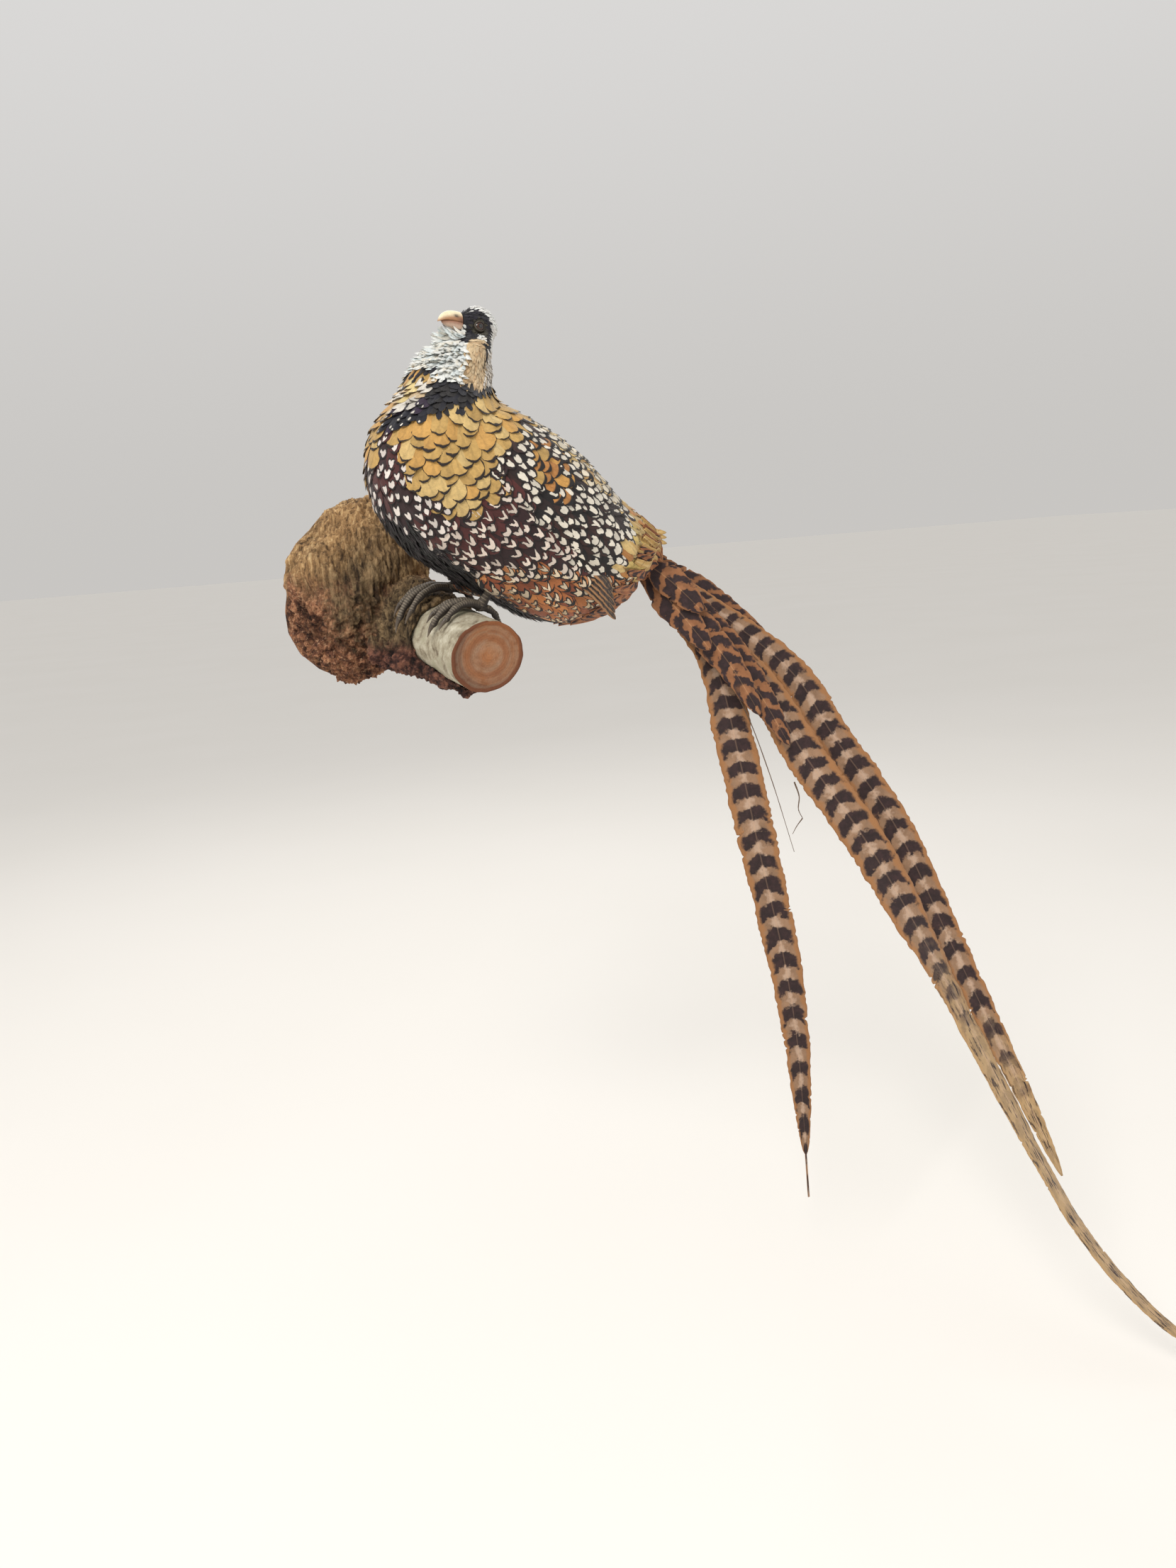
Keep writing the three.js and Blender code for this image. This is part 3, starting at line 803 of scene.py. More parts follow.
GOLD, PALE_GOLD, RUST_GOLD = rgb(190, 154, 90), rgb(206, 176, 116), rgb(184, 126, 66)
MAROON, DEEP_MAROON = rgb(78, 34, 32), rgb(46, 24, 26)
BLACK, BLUE_BLACK, WHITE, CREAM = rgb(22, 18, 19), rgb(22, 22, 34), rgb(226, 220, 208), rgb(222, 196, 156)
SNOW = rgb(246, 248, 244)
BEARDED = (SNOW, SNOW, rgb(232, 240, 240), rgb(244, 240, 228))

FEATHERS: dict[Tract, Feather] = {
    Tract.MANTLE: Feather(8.6, 19, 27, 3.0, (GOLD, GOLD, PALE_GOLD, GOLD, rgb(200, 154, 84)),
                          edge_tone=rgb(28, 18, 14), rim=0.115, vary=0.1),
    Tract.COVERT: Feather(7.5, 14, 25, 2.6, (rgb(54, 32, 28), BLACK, rgb(40, 26, 24)),
                          rgb(228, 220, 204), BLACK, (0.48, 0.15, 0.81), -0.30, 0.06),
    Tract.CHEVRON: Feather(9.1, 17.5, 27, 2.8, (MAROON, MAROON, DEEP_MAROON),
                           rgb(228, 212, 198), BLACK, (0.70, 0.094, 0.90), -0.36, 0.08),
    Tract.CHEST: Feather(8.4, 14, 23, 2.6, (MAROON, DEEP_MAROON),
                         rgb(228, 218, 210), BLACK, (0.55, 0.115, 0.84), -0.34, 0.08),
    Tract.SCAPULAR: Feather(8.6, 17, 26, 3.0, (GOLD, rgb(196, 146, 76), RUST_GOLD), edge_tone=BLACK, rim=0.2),
    Tract.BACK: Feather(8.6, 16, 26, 3.2, (rgb(208, 182, 132), PALE_GOLD, rgb(176, 140, 88)),
                        rgb(230, 218, 194), BLACK, (0.46, 0.15, 0.74), -0.16, 0.16, 0.22),
    Tract.CINNAMON: Feather(9.0, 16, 28, 3.0, (rgb(172, 104, 58), rgb(132, 70, 42), rgb(186, 122, 72)),
                            rgb(226, 206, 176), BLACK, (0.66, 0.085, 0.84), -0.34, 0.13, 0.6),
    Tract.AMBER: Feather(9.6, 15, 32, 3.2, (rgb(184, 112, 58), rgb(198, 128, 70), rgb(150, 84, 50)),
                         CREAM, rgb(40, 22, 18), (0.4, 0.06, 0.88), -0.24, 0.14, 0.5, Cut.LONG),
    Tract.BELLY: Feather(5.8, 11, 20, 3.4, (BLACK, rgb(40, 28, 34)), cut=Cut.TUFT, spread=12),
    Tract.RUMP: Feather(6.8, 12, 34, 4.6, (GOLD, PALE_GOLD, rgb(214, 186, 110), RUST_GOLD),
                        edge_tone=rgb(60, 36, 20), rim=0.06, cut=Cut.LONG, spread=11),
    Tract.COLLAR: Feather(4.4, 8, 14, 2.6, (BLUE_BLACK, BLACK), cut=Cut.SMALL, spread=11),
    Tract.RUFF_PALE: Feather(6.2, 11, 17, 4.0, (WHITE, CREAM, rgb(226, 204, 144), WHITE),
                             edge_tone=rgb(60, 44, 60), rim=0.05, spread=14),
    Tract.RUFF_DARK: Feather(6.0, 11, 17, 3.4, (rgb(46, 30, 54), BLUE_BLACK),
                             WHITE, BLACK, (0.2, 0.08, 0.85), 0.0, 0.05),
    Tract.NECK: Feather(2.5, 2.7, 12, 1.3, (CREAM, rgb(210, 184, 144), rgb(202, 170, 128)),
                        cut=Cut.SMALL, spread=5, vary=0.13),
    Tract.THROAT: Feather(2.6, 4.6, 11.5, 4.6, BEARDED, cut=Cut.SMALL, wrap=0.6, spread=24, vary=0.04),
    Tract.NAPE: Feather(2.6, 2.8, 10, 1.3, (rgb(236, 230, 220), rgb(224, 214, 200)), cut=Cut.SMALL, spread=6),
    Tract.BAND: Feather(2.5, 2.8, 9, 1.3, (BLACK, rgb(30, 24, 26)), cut=Cut.SMALL, spread=6),
    Tract.CROWN: Feather(2.2, 2.6, 7, 1.2, (SNOW, rgb(236, 234, 230)), cut=Cut.SMALL, spread=8),
    Tract.MASK: Feather(2.0, 2.6, 5.2, 1.1, (rgb(26, 23, 36), rgb(20, 18, 24)), cut=Cut.SMALL, spread=10),
    Tract.LORES: Feather(2.0, 2.3, 4.0, 0.8, (rgb(66, 62, 48), rgb(48, 44, 36)),
                         cut=Cut.SMALL, spread=14, vary=0.25),
    Tract.CHEEK: Feather(1.7, 2.6, 4.0, 1.2, (SNOW, rgb(236, 230, 218)), cut=Cut.SMALL, spread=9),
    Tract.THIGH: Feather(5.0, 7, 15, 2.4, (rgb(40, 29, 25), rgb(58, 42, 34)), cut=Cut.TUFT, spread=10),
    Tract.BEARD: Feather(2.2, 4.6, 14.5, 6.0, BEARDED, cut=Cut.SMALL, wrap=0.0, spread=24, vary=0.04),
}


def tract_of(number: np.ndarray, angle: np.ndarray, head: np.ndarray, jitter: np.ndarray) -> np.ndarray:
    """Which tract each place of the skin bears.

    Args:
        number: body section numbers.
        angle: angles down from the back to the left.
        head: places by the head's axes, mm.
        jitter: a number from -1 to 1 for each, which roughens the borders.

    Returns:
        Tract numbers.
    """
    down = np.minimum(angle, 360 - angle)
    s = number + 0.05 * jitter
    a = down + 2.0 * jitter
    # The breast's pattern is centred a little to the left, so angles are told from its own middle.
    far = np.interp(360 - angle, [0, 120, 180], [0, 120, 152])
    m = np.where(angle <= 180, np.minimum(angle, 332 - angle), far) + 2.0 * jitter
    tract = np.full(len(s), int(Tract.MANTLE))
    low = np.interp(m, [20, 46, 68, 80, 90, 94, 100, 118, 130, 138, 141, 148, 151, 166],
                    [7.3, 7.3, 7.5, 7.6, 7.65, 7.35, 7.0, 7.15, 7.45, 8.2, 8.9, 9.25, 9.75, 10.2])
    tract[s < low] = Tract.CHEVRON
    tract[(s < low) & (a < np.interp(s, [3.5, 5.4, 6.6, 7.2, 8], [112, 106, 96, 92, 92]))] = Tract.COVERT
    tract[(s < low) & (s > 4.2) & (a < np.interp(s, [4, 5.3, 6.5, 7.4], [56, 62, 50, 40]))] = Tract.BACK
    tract[(s < low) & (m > 126) & (s > 7.3) & (s < 10.4)] = Tract.CHEST
    tract[((s - 6.4) / 0.62) ** 2 + ((a - 73 + (s - 6.4) * 8) / 11.5) ** 2 < 1] = Tract.SCAPULAR
    flank = np.interp(a, [100, 110, 118, 126, 142, 160, 180], [2.6, 3.7, 4.4, 5.0, 5.7, 6.1, 6.1])
    tract[(s < flank) & (a > 104)] = Tract.CINNAMON
    tract[(s < np.interp(a, [128, 140, 152, 180], [2.6, 4.2, 5.2, 5.4])) & (a > 130)] = Tract.AMBER
    belly = np.interp(s, [0, 3.2, 5.0, 6.5, 7.6, 8.2], [178, 174, 168, 158, 160, 178])
    tract[(a > belly) & (s < 8.1)] = Tract.BELLY
    tract[(s < 3.9 - 0.004 * a) & (a < 100)] = Tract.RUMP
    low_collar = np.interp(a, [0, 40, 64, 98, 118, 150, 180], [9.35, 9.35, 9.42, 9.5, 9.85, 10.15, 10.2])
    high_collar = np.interp(a, [0, 50, 70, 88, 108, 148, 180], [9.6, 9.62, 9.95, 10.5, 10.95, 11.25, 11.3])
    tract[(s > low_collar) & (s <= high_collar)] = Tract.COLLAR
    ruff = (angle > 138 + 2 * jitter) & (angle < 212)
    tract[(angle > 128 + 2 * jitter) & (angle < 172) & (s > 9.75) & (s < 10.4)] = Tract.RUFF_DARK
    tract[ruff & (s >= 10.4) & (s < 11.4)] = Tract.RUFF_PALE
    tract[ruff & (s >= 11.4) & (s < 11.8)] = Tract.COLLAR
    tract[(angle > 172) & (angle < 232) & (s > 9.2) & (s < 10.7)] = Tract.MANTLE
    over = s > high_collar + 0.55 * ruff
    tract[over] = Tract.NECK
    tract[over & (a > np.interp(s, [10.5, 11.4, 13.3, 14], [102, 102, 112, 118]))] = Tract.THROAT
    tract[over & (a < 58)] = Tract.NAPE
    tract[over & (np.abs(a - 67) < np.interp(s, [11.5, 12.2, 13.3], [0.5, 5, 10])) & (s > 11.5)] = Tract.BAND
    f, side, u = head.T
    side = np.abs(side)
    near = (u > -27 + 0.5 * jitter) & (s > 12.6)
    f = f + 0.6 * jitter
    back = np.interp(u, [-27, -12, -8, -3, 0, 5, 8, 10], [-5, -7.5, -9, -8, -6.5, -3.5, 2, 60])
    under = np.interp(f, [-4, 8, 12, 16, 21, 27, 31], [-25, -20, -18.5, -19.5, -22.5, -24, -24])
    face = near & (f > back) & (u > under) & (f < 31) & (side > np.interp(u, [-26, -18, -13], [8, 4, 0]))
    tract[near & (f <= back) & (u > -22)] = Tract.CROWN
    tract[face] = Tract.MASK
    tract[face & (((f - 5.5) / 8.0) ** 2 + ((u + 7.0) / 9.5) ** 2 < 1)] = Tract.LORES
    tract[near & (((f - 6.5) / 4.2) ** 2 + ((u + 17.0) / 3.0) ** 2 < 1)] = Tract.CHEEK
    return tract


# ------------------------------------------------------------------ finishes of the bird
@dataclass(frozen=True)
class VaneFinish:
    """Body feathers: their own colours and mark, with barbs, a shaft and a root darkened both for its grey
    down and as painted shade.
    """

    barbs: float = 26.0
    roughness: float = 0.62
    warp: float = 120.0

    def make(self, name: str) -> bpy.types.Material:
        """Builds the material.

        Args:
            name: its name.

        Returns:
            The material.
        """
        paint = Paint(name)
        across, along = paint.uv("Vane")
        side, tip = paint.uv("Rim")
        half_wide, half_long, middle = paint.split(paint.attribute("mark", "Vector"))
        grain, warp = paint.noise(420, 2) - 0.5, paint.noise(self.warp, 2) - 0.5
        u = abs(across * 2 - 1 + grain * 0.14 + warp * 0.75)
        v = along + grain * 0.05 + warp * 0.2
        u = u * (1 + (v - middle).math("MULTIPLY", -2.2))
        bent = v - middle - paint.attribute("bend", "Fac") * u
        reach = ((u / half_wide) ** 2 + (bent / half_long) ** 2) ** 0.5
        ring = paint.attribute("ring", "Fac")
        rim = paint.attribute("rim", "Fac")
        edge = (abs(side * 2 - 1)).math("MAXIMUM", 1 - (1 - tip) * 1.35) + grain * 0.05
        rim_mask = edge.step(1 - rim * 1.15, 1 - rim * 0.75) * tip.step(0.42, 0.66) * rim.step(0.0, 0.04)
        barb = ((along - u * 0.33) * (self.barbs * math.tau)).math("SINE")
        mottled = 0.9 + barb * 0.09 + grain * 0.5 + (paint.noise(60, 2) - 0.5) * 0.3
        tone = paint.shade(paint.attribute("tone"), mottled)
        tone = paint.mix(u.step(0.085, 0.03) * 0.35, tone, paint.shade(tone, 0.55))
        dark, marked = paint.attribute("edge_tone"), half_wide.step(0.05, 0.1)
        tone = paint.mix(reach.step(1.12 + ring, 0.98 + ring) * marked, tone, dark)
        tone = paint.mix(reach.step(1.1, 0.88) * marked, tone,
                         paint.shade(paint.attribute("mark_tone"), 0.94 + barb * 0.07 + grain * 0.3))
        tone = paint.mix(rim_mask, tone, dark)
        # The root half is darkened: partly the feather's own grey down, partly painted shade where the
        # feathers overlap.
        tone = paint.shade(tone, 0.68 + 0.32 * along.step(0.08, 0.4))
        normal = paint.bump(barb * 0.5 + grain, 0.0003, 0.45)
        return paint.finish(tone, self.roughness - 0.12 * barb * grain, normal, sheen_weight=0.15,
                            sheen_roughness=0.5, specular_ior_level=0.32)


@dataclass(frozen=True)
class SkinFinish:
    """Skin and other parts painted point by point: bumpy, with mottling."""

    grain: float = 700.0
    depth: float = 0.0003
    roughness: float = 0.7
    mottle: float = 0.5
    shine: float = 0.3

    def make(self, name: str) -> bpy.types.Material:
        """Builds the material.

        Args:
            name: its name.

        Returns:
            The material.
        """
        paint = Paint(name)
        cells, cloud = paint.cells(self.grain), paint.noise(self.grain * 0.22, 4)
        tone = paint.shade(paint.attribute("tone"), 1 + (cloud - 0.5) * self.mottle + (cells - 0.4) * 0.3)
        return paint.finish(tone, self.roughness + (cloud - 0.5) * 0.25,
                            paint.bump(cells + cloud * 0.7, self.depth, 0.7), specular_ior_level=self.shine)


# ------------------------------------------------------------------ feather templates
@dataclass
class Templates:
    """The vanes and tufts that the coat repeats: unit wide and long, rising from 0 to 1 at the tip.

    A vane is told by its faces across and along, its half widths at even places from root to tip, how far
    its sides fall back from the tip, and how uneven its edge is.
    """

    vanes: dict[Cut, tuple[int, int, tuple[float, ...], float, float]] = field(default_factory=lambda: {
        Cut.VANE: (6, 7, (0.30, 0.86, 1.0, 0.97, 0.80), 0.20, 0.05),
        Cut.LONG: (6, 9, (0.30, 0.8, 1.0, 0.9, 0.45), 0.10, 0.09),
        Cut.SMALL: (2, 4, (0.35, 0.9, 1.0, 0.85, 0.40), 0.10, 0.10)})
    locks: int = 7
    steps: int = 4
    camber: float = 0.55
    lift: float = 0.12
    keel: float = 0.3
    spine: tuple[float, ...] = (0.25, 0.5, 0.78)
    spine_from: tuple[float, ...] = (0.36, 0.66)
    made: Optional[bpy.types.Collection] = None

    def collection(self) -> bpy.types.Collection:
        """Builds the templates once, in the order of Cut.

        Returns:
            Their collection.
        """
        if self.made:
            return self.made
        self.made = bpy.data.collections.new("templates")
        bpy.context.scene.collection.children.link(self.made)
        rng = np.random.default_rng(SEED)
        for cut, variants in VARIANTS.items():
            for i in range(cut, cut + variants):
                if cut in self.vanes:
                    self.vane(f"t{i:02d}", *self.vanes[cut], rng)
                else:
                    self.tuft(f"t{i:02d}", rng)
        return self.made

    def vane(self, name: str, columns: int, rows: int, outline: Sequence[float], arc: float, ragged: float,
             rng: np.random.Generator) -> None:
        """Builds a thin closed vane: a cambered top over three fans that meet on a keel.

        Args:
            name: template name.
            columns: faces across.
            rows: faces along.
            outline: half widths.
            arc: the sides' fall.
            ragged: the edge's unevenness.
            rng: random numbers.
        """
        verts, shape, rim = [], [], []
        for j in range(rows + 1):
            v = j / rows
            wide = np.interp(v, np.linspace(0, 1, len(outline)), outline)
            for i in range(columns + 1):
                u = 2 * i / columns - 1
                notch = ragged * rng.uniform(-1, 0.6) * (v > 0.45) * (abs(u) > 0.6 or j == rows)
                y = v - arc * u * u * v ** 3 * (1 + 0.6 * (v - 1)) + (notch * 0.7 if j == rows else 0)
                x = 0.5 * wide * u * (1 + (notch if abs(u) > 0.9 else 0))
                verts.append((x, y, y ** 1.15 + self.lift - self.camber * x * x * 4 * (0.4 + 0.6 * v)))
                shape.append((x + 0.5, y))
                rim.append(((u + 1) / 2, v))
        across = columns + 1
        faces = ring_faces(rows + 1, across, closed=False)
        border = [*range(columns), *(r * across + columns for r in range(rows)),
                  *(rows * across + c for c in range(columns, 0, -1)),
                  *(r * across for r in range(rows, 0, -1))]
        keel = len(verts)
        for v in self.spine:
            verts.append((0, v, v ** 1.15 + self.lift - self.keel))
            shape.append((0.5, v))
            rim.append((0.5, v))
        edges = list(zip(border, border[1:] + border[:1]))
        fans = [keel + sum((verts[a][1] + verts[b][1]) / 2 >= low for low in self.spine_from)
                for a, b in edges]
        faces += [(b, a, fan) for (a, b), fan in zip(edges, fans)]
        faces += [(b, here, after) for (_, b), here, after in zip(edges, fans, fans[1:] + fans[:1])
                  if here != after]
        self.keep(name, verts, faces, shape, rim, set(border))

    def tuft(self, name: str, rng: np.random.Generator) -> None:
        """Builds a tuft of thin curved locks that fan out from one root.

        Args:
            name: template name.
            rng: random numbers.
        """
        verts, faces, shape, rim = [], [], [], []
        for k in range(self.locks):
            lean = (k / (self.locks - 1) - 0.5) * 1.2 + rng.uniform(-0.1, 0.1)
            length, curl, rise = rng.uniform(0.68, 1.0), rng.uniform(-0.25, 0.25), rng.uniform(0.4, 1.15)
            start = len(verts)
            for j in range(self.steps):
                t = j / self.steps
                girth = 0.072 * math.sin(math.pi * (0.25 + 0.65 * t)) + 0.01
                x = lean * 0.55 * t + curl * t * t
                height = rise * t ** 1.3 + 0.1
                for across, above in ((1, 0.35), (-1, 0.35), (0, -0.8)):
                    verts.append((x + 1.45 * girth * across, length * t, height + girth * above))
                    shape.append((0.72 + x * 0.3 + 0.06 * across, length * t))
                    rim.append((0.5, t))
            verts.append((lean * 0.55 + curl, length, rise + 0.1))
            shape.append((0.72 + (lean * 0.55 + curl) * 0.3, length))
            rim.append((0.5, 1))
            faces += ring_faces(self.steps, 3, start)
            tip, end = len(verts) - 1, start + (self.steps - 1) * 3
            faces += [(end + c, end + (c + 1) % 3, tip) for c in range(3)] + [(start + 2, start + 1, start)]
        self.keep(name, verts, faces, shape, rim, set())

    def keep(self, name: str, verts: list, faces: list, shape: list, rim: list, border: set[int]) -> None:
        """Stores a template with its two maps, its border kept sharp.

        Args:
            name: template name.
            verts: its points.
            faces: its faces.
            shape: each point's place on the vane.
            rim: each point's place between the edges.
            border: the points of its sharp border.
        """
        made = new_object(name, np.array(verts), faces)
        outward(made)
        corner_map(made.data, "Vane", np.array(shape))
        corner_map(made.data, "Rim", np.array(rim))
        if border:
            sharp = made.data.attributes.new("sharp_edge", "BOOLEAN", "EDGE")
            sharp.data.foreach_set("value", [border.issuperset(edge.vertices) for edge in made.data.edges])
        bpy.context.scene.collection.objects.unlink(made)
        self.made.objects.link(made)

    def clear(self) -> None:
        """Removes the templates."""
        for made in list(self.made.objects):
            bpy.data.objects.remove(made)
        bpy.data.collections.remove(self.made)
        self.made = None


# ------------------------------------------------------------------ skin
@dataclass
class Skin:
    """One skin over rump, trunk, neck, head, wings and thighs, lying inside them by the coat's depth."""

    voxel: float = 0.0021
    passes: int = 9
    close: float = 0.0007
    body_depth: float = 0.0032
    head_depth: float = 0.0012
    nape_depth: float = 0.0065
    chin_rise: float = 0.0042
    nodes: tuple[str, ...] = ("rump", "trunk", "neck", "head", "wing_left", "wing_right",
                              "thigh_left", "thigh_right")
    piece: Optional[bpy.types.Object] = None
    places: np.ndarray = field(default_factory=lambda: np.zeros((0, 3)))
    normals: np.ndarray = field(default_factory=lambda: np.zeros((0, 3)))

    def build(self) -> None:
        """Builds, shrinks and paints the skin."""
        self.piece = copied("skin", self.nodes, self.close)
        remeshed(self.piece, self.voxel, self.passes)
        mesh = self.piece.data
        places, normals = points_of(mesh), points_of(mesh, "normal")
        head = HEAD.locate(places)
        far = np.linalg.norm(head * [0.8, 1, 0.8] - [3, 0, -2], axis=1)
        depth = self.head_depth + (self.body_depth - self.head_depth) * smooth(22, 60, far) + self.close
        depth *= 1 - 0.6 * smooth(14, 21, head[:, 0]) * (far < 30)
        number, angle, _ = BODY.locate(places)
        nape = smooth(10.7, 11.9, number) * smooth(92, 40, np.minimum(angle, 360 - angle))
        nape = nape * smooth(4, -18, head[:, 2])
        depth += self.nape_depth * nape * (1 - 0.5 * smooth(-22, -6, head[:, 2]))
        chin = np.exp(-(((head - [29, 0, -14]) / [8, 8, 6]) ** 2).sum(1))
        put_points(mesh, places - normals * (depth - self.chin_rise * chin)[:, None])
        mesh.update()
        mesh.shade_smooth()
        self.places, self.normals = points_of(mesh), points_of(mesh, "normal")
        store(mesh, "skin_normal", self.normals)
        number, angle, _ = BODY.locate(self.places)
        tracts = tract_of(number, angle, head, wobble(self.places[:, 0] * 300 + self.places[:, 2] * 210, 2))
        tones = np.array([np.mean(FEATHERS[tract].tones, axis=0) for tract in Tract])
        # The skin shows in the gaps between feathers. It is painted darker than its tracts' feathers, at half
        # their tone or 0.86 in the pale plain tracts, as painted shade between the feathers.
        plain = np.isin(tracts, (Tract.LORES, Tract.THROAT, Tract.BEARD, Tract.CROWN, Tract.NECK))[:, None]
        store(mesh, "tone", tones[tracts] * np.where(plain, 0.86, 0.5) + 0.004)
        dressed(self.piece, SkinFinish().make("skin"), "body_feathers", *self.nodes)

    def scatter(self, count: int, rng: np.random.Generator) -> tuple[np.ndarray, np.ndarray]:
        """Random places on the skin, even by area.

        Args:
            count: how many.
            rng: random numbers.

        Returns:
            Places and normals.
        """
        mesh = self.piece.data
        mesh.calc_loop_triangles()
        tris = np.zeros(len(mesh.loop_triangles) * 3, np.int32)
        mesh.loop_triangles.foreach_get("vertices", tris)
        tris = tris.reshape(-1, 3)
        a, b, c = (self.places[tris[:, k]] for k in range(3))
        area = np.linalg.norm(np.cross(b - a, c - a), axis=1)
        pick = rng.choice(len(tris), count, p=area / area.sum())
        w = rng.dirichlet((1, 1, 1), count)
        corners = tris[pick]
        places = (self.places[corners] * w[:, :, None]).sum(1)
        return places, unit((self.normals[corners] * w[:, :, None]).sum(1))


# ------------------------------------------------------------------ coat
@dataclass
class Coat:
    """The plumage: feathers set over the skin by tract and laid along the bird by Geometry Nodes."""

    skin: Skin
    templates: Templates = field(default_factory=Templates)
    tries: int = 260_000
    patch: float = 0.9
    margin: float = 0.05
    small_patch: float = 0.003
    unrolled: tuple[float, float] = (362, 14.1)
    small: float = 15
    shown: float = 0.68
    sunk: float = 0.0004
    round_eye: float = 0.0068
    head_box: tuple[float, float, float] = (26, 20, 22)
    pieces: dict[str, tuple[Tract, ...]] = field(default_factory=lambda: {
        "coat_head": (Tract.CROWN, Tract.MASK, Tract.LORES, Tract.CHEEK),
        "coat_throat": (Tract.THROAT,),
        "coat_beard": (Tract.BEARD,),
        "coat_neck": (Tract.NECK, Tract.NAPE, Tract.BAND),
        "coat_collar": (Tract.COLLAR, Tract.RUFF_PALE, Tract.RUFF_DARK),
        "coat_mantle": (Tract.MANTLE,),
        "coat_breast": (Tract.CHEST,),
        "coat_wings": (Tract.COVERT, Tract.SCAPULAR, Tract.BACK),
        "coat_sides": (Tract.CHEVRON,),
        "coat_flanks": (Tract.CINNAMON, Tract.AMBER),
        "coat_belly": (Tract.BELLY, Tract.THIGH),
        "coat_rump": (Tract.RUMP,)})
    slots: dict[str, str] = field(default_factory=lambda: {
        "coat_wings": "wing_feathers", "coat_head": "head_feathers", "coat_throat": "head_feathers",
        "coat_neck": "head_feathers", "coat_beard": "head_feathers"})

    def build(self, eyes: Sequence[np.ndarray]) -> None:
        """Sets every feather's root, then builds the pieces.

        Args:
            eyes: the eyes' middles, round which no feather grows.
        """
        rng = np.random.default_rng(SEED)
        places, normals = self.skin.scatter(self.tries, rng)
        head = HEAD.locate(places)
        number, angle, down = BODY.locate(places)
        on_head = (np.abs(head - [0, 0, -2]) < self.head_box).all(1)
        jitter = wobble(places @ [310, 270, 330], 1) * 0.7 + rng.uniform(-0.5, 0.5, len(places))
        ahead, left, over = HEAD.axes()
        down = np.where(on_head[:, None], unit(-ahead - 0.45 * UP), down)
        # A tract's border is told where its feathers' tips show, further down the bird than their roots.
        lengths = np.array([FEATHERS[tract].length for tract in Tract]) * MM
        shown = places + down * (self.shown * lengths[tract_of(number, angle, head, jitter)])[:, None]
        tracts = tract_of(*BODY.locate(shown)[:2], HEAD.locate(shown), jitter)
        tracts[self.on_thigh(places) & ~np.isin(tracts, (Tract.CINNAMON, Tract.AMBER))] = Tract.THIGH
        fore, aside, height = head[:, 0], np.abs(head[:, 1]), head[:, 2]
        chin = (fore > 20) & (aside < 10) & (height < -8.5) & (height > -38) & (fore > 12 - 0.55 * height)
        chin |= (tracts == Tract.THROAT) & on_head & (fore > 6)
        tracts[chin] = Tract.BEARD
        ledge = (fore > 17) & (aside < 9.5) & (height < -7.5) & (height > -12.5)
        tracts[ledge & (~chin | (aside < 6))] = Tract.CHEEK
        hang = smooth(-8, -40, height)[:, None]
        bearded = ahead * (1.15 - 0.8 * hang) - over * (1.3 * hang - 0.45) + left * (head[:, 1:2] * 0.03)
        down = np.where((chin | ledge)[:, None], unit(bearded), down)
        keep = np.min([np.linalg.norm(places - eye, axis=1) for eye in eyes], axis=0) > self.round_eye
        keep &= ~((fore > 19.5) & (aside < 9) & (np.abs(height + 1) < 8.4))
        material, group = VaneFinish().make("plumage"), self.tree()
        for name, members in self.pieces.items():
            picks = np.concatenate([self.thinned(places, np.flatnonzero((tracts == tract) & keep),
                                                 FEATHERS[tract].spacing * MM, rng) for tract in members])
            self.lay(name, group, material, places[picks], normals[picks], down[picks], tracts[picks],
                     number[picks], angle[picks], rng)
        self.templates.clear()

    @staticmethod
    def on_thigh(places: np.ndarray) -> np.ndarray:
        """Whether places lie in a thigh's box, low down.

        Args:
            places: rows of points.

        Returns:
            Whether each lies there.
        """
        inside = np.zeros(len(places), bool)
        for side in ("left", "right"):
            low, high = (np.array(corner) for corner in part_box(f"thigh_{side}"))
            knee = low[2] + 0.65 * (high[2] - low[2])
            inside |= ((places > low) & (places < high)).all(1) & (places[:, 2] < knee)
        return inside

    @staticmethod
    def thinned(places: np.ndarray, mine: np.ndarray, gap: float, rng: np.random.Generator) -> np.ndarray:
        """Picks places that keep a gap from one another.

        Args:
            places: all places.
            mine: the numbers of those to pick from.
            gap: the least distance.
            rng: random numbers.

        Returns:
            The picked numbers.
        """
        mine = rng.permutation(mine)
        grid: dict[tuple[int, int, int], list] = {}
        taken = []
        for number, (x, y, z) in zip(mine.tolist(), places[mine].tolist()):
            i, j, k = int(x / gap + 1000), int(y / gap + 1000), int(z / gap + 1000)
            near = (spot for a in (i, i - 1, i + 1) for b in (j, j - 1, j + 1) for c in (k, k - 1, k + 1)
                    for spot in grid.get((a, b, c), ()))
            if all((x - p) ** 2 + (y - q) ** 2 + (z - r) ** 2 >= gap * gap for p, q, r in near):
                grid.setdefault((i, j, k), []).append((x, y, z))
                taken.append(number)
        return np.array(taken, int)

    def lay(self, name: str, group: bpy.types.NodeTree, material: bpy.types.Material, places: np.ndarray,
            normals: np.ndarray, down: np.ndarray, tracts: np.ndarray, number: np.ndarray, angle: np.ndarray,
            rng: np.random.Generator) -> None:
        """Builds one coat piece.

        Args:
            name: its name.
            group: the coat's node tree.
            material: its finish.
            places: the feathers' roots.
            normals: the skin's normals there.
            down: the way down the bird there.
            tracts: their tracts.
            number: their body section numbers.
            angle: their angles round the body.
            rng: random numbers.
        """
        count = len(places)
        kinds = [FEATHERS[Tract(t)] for t in tracts]

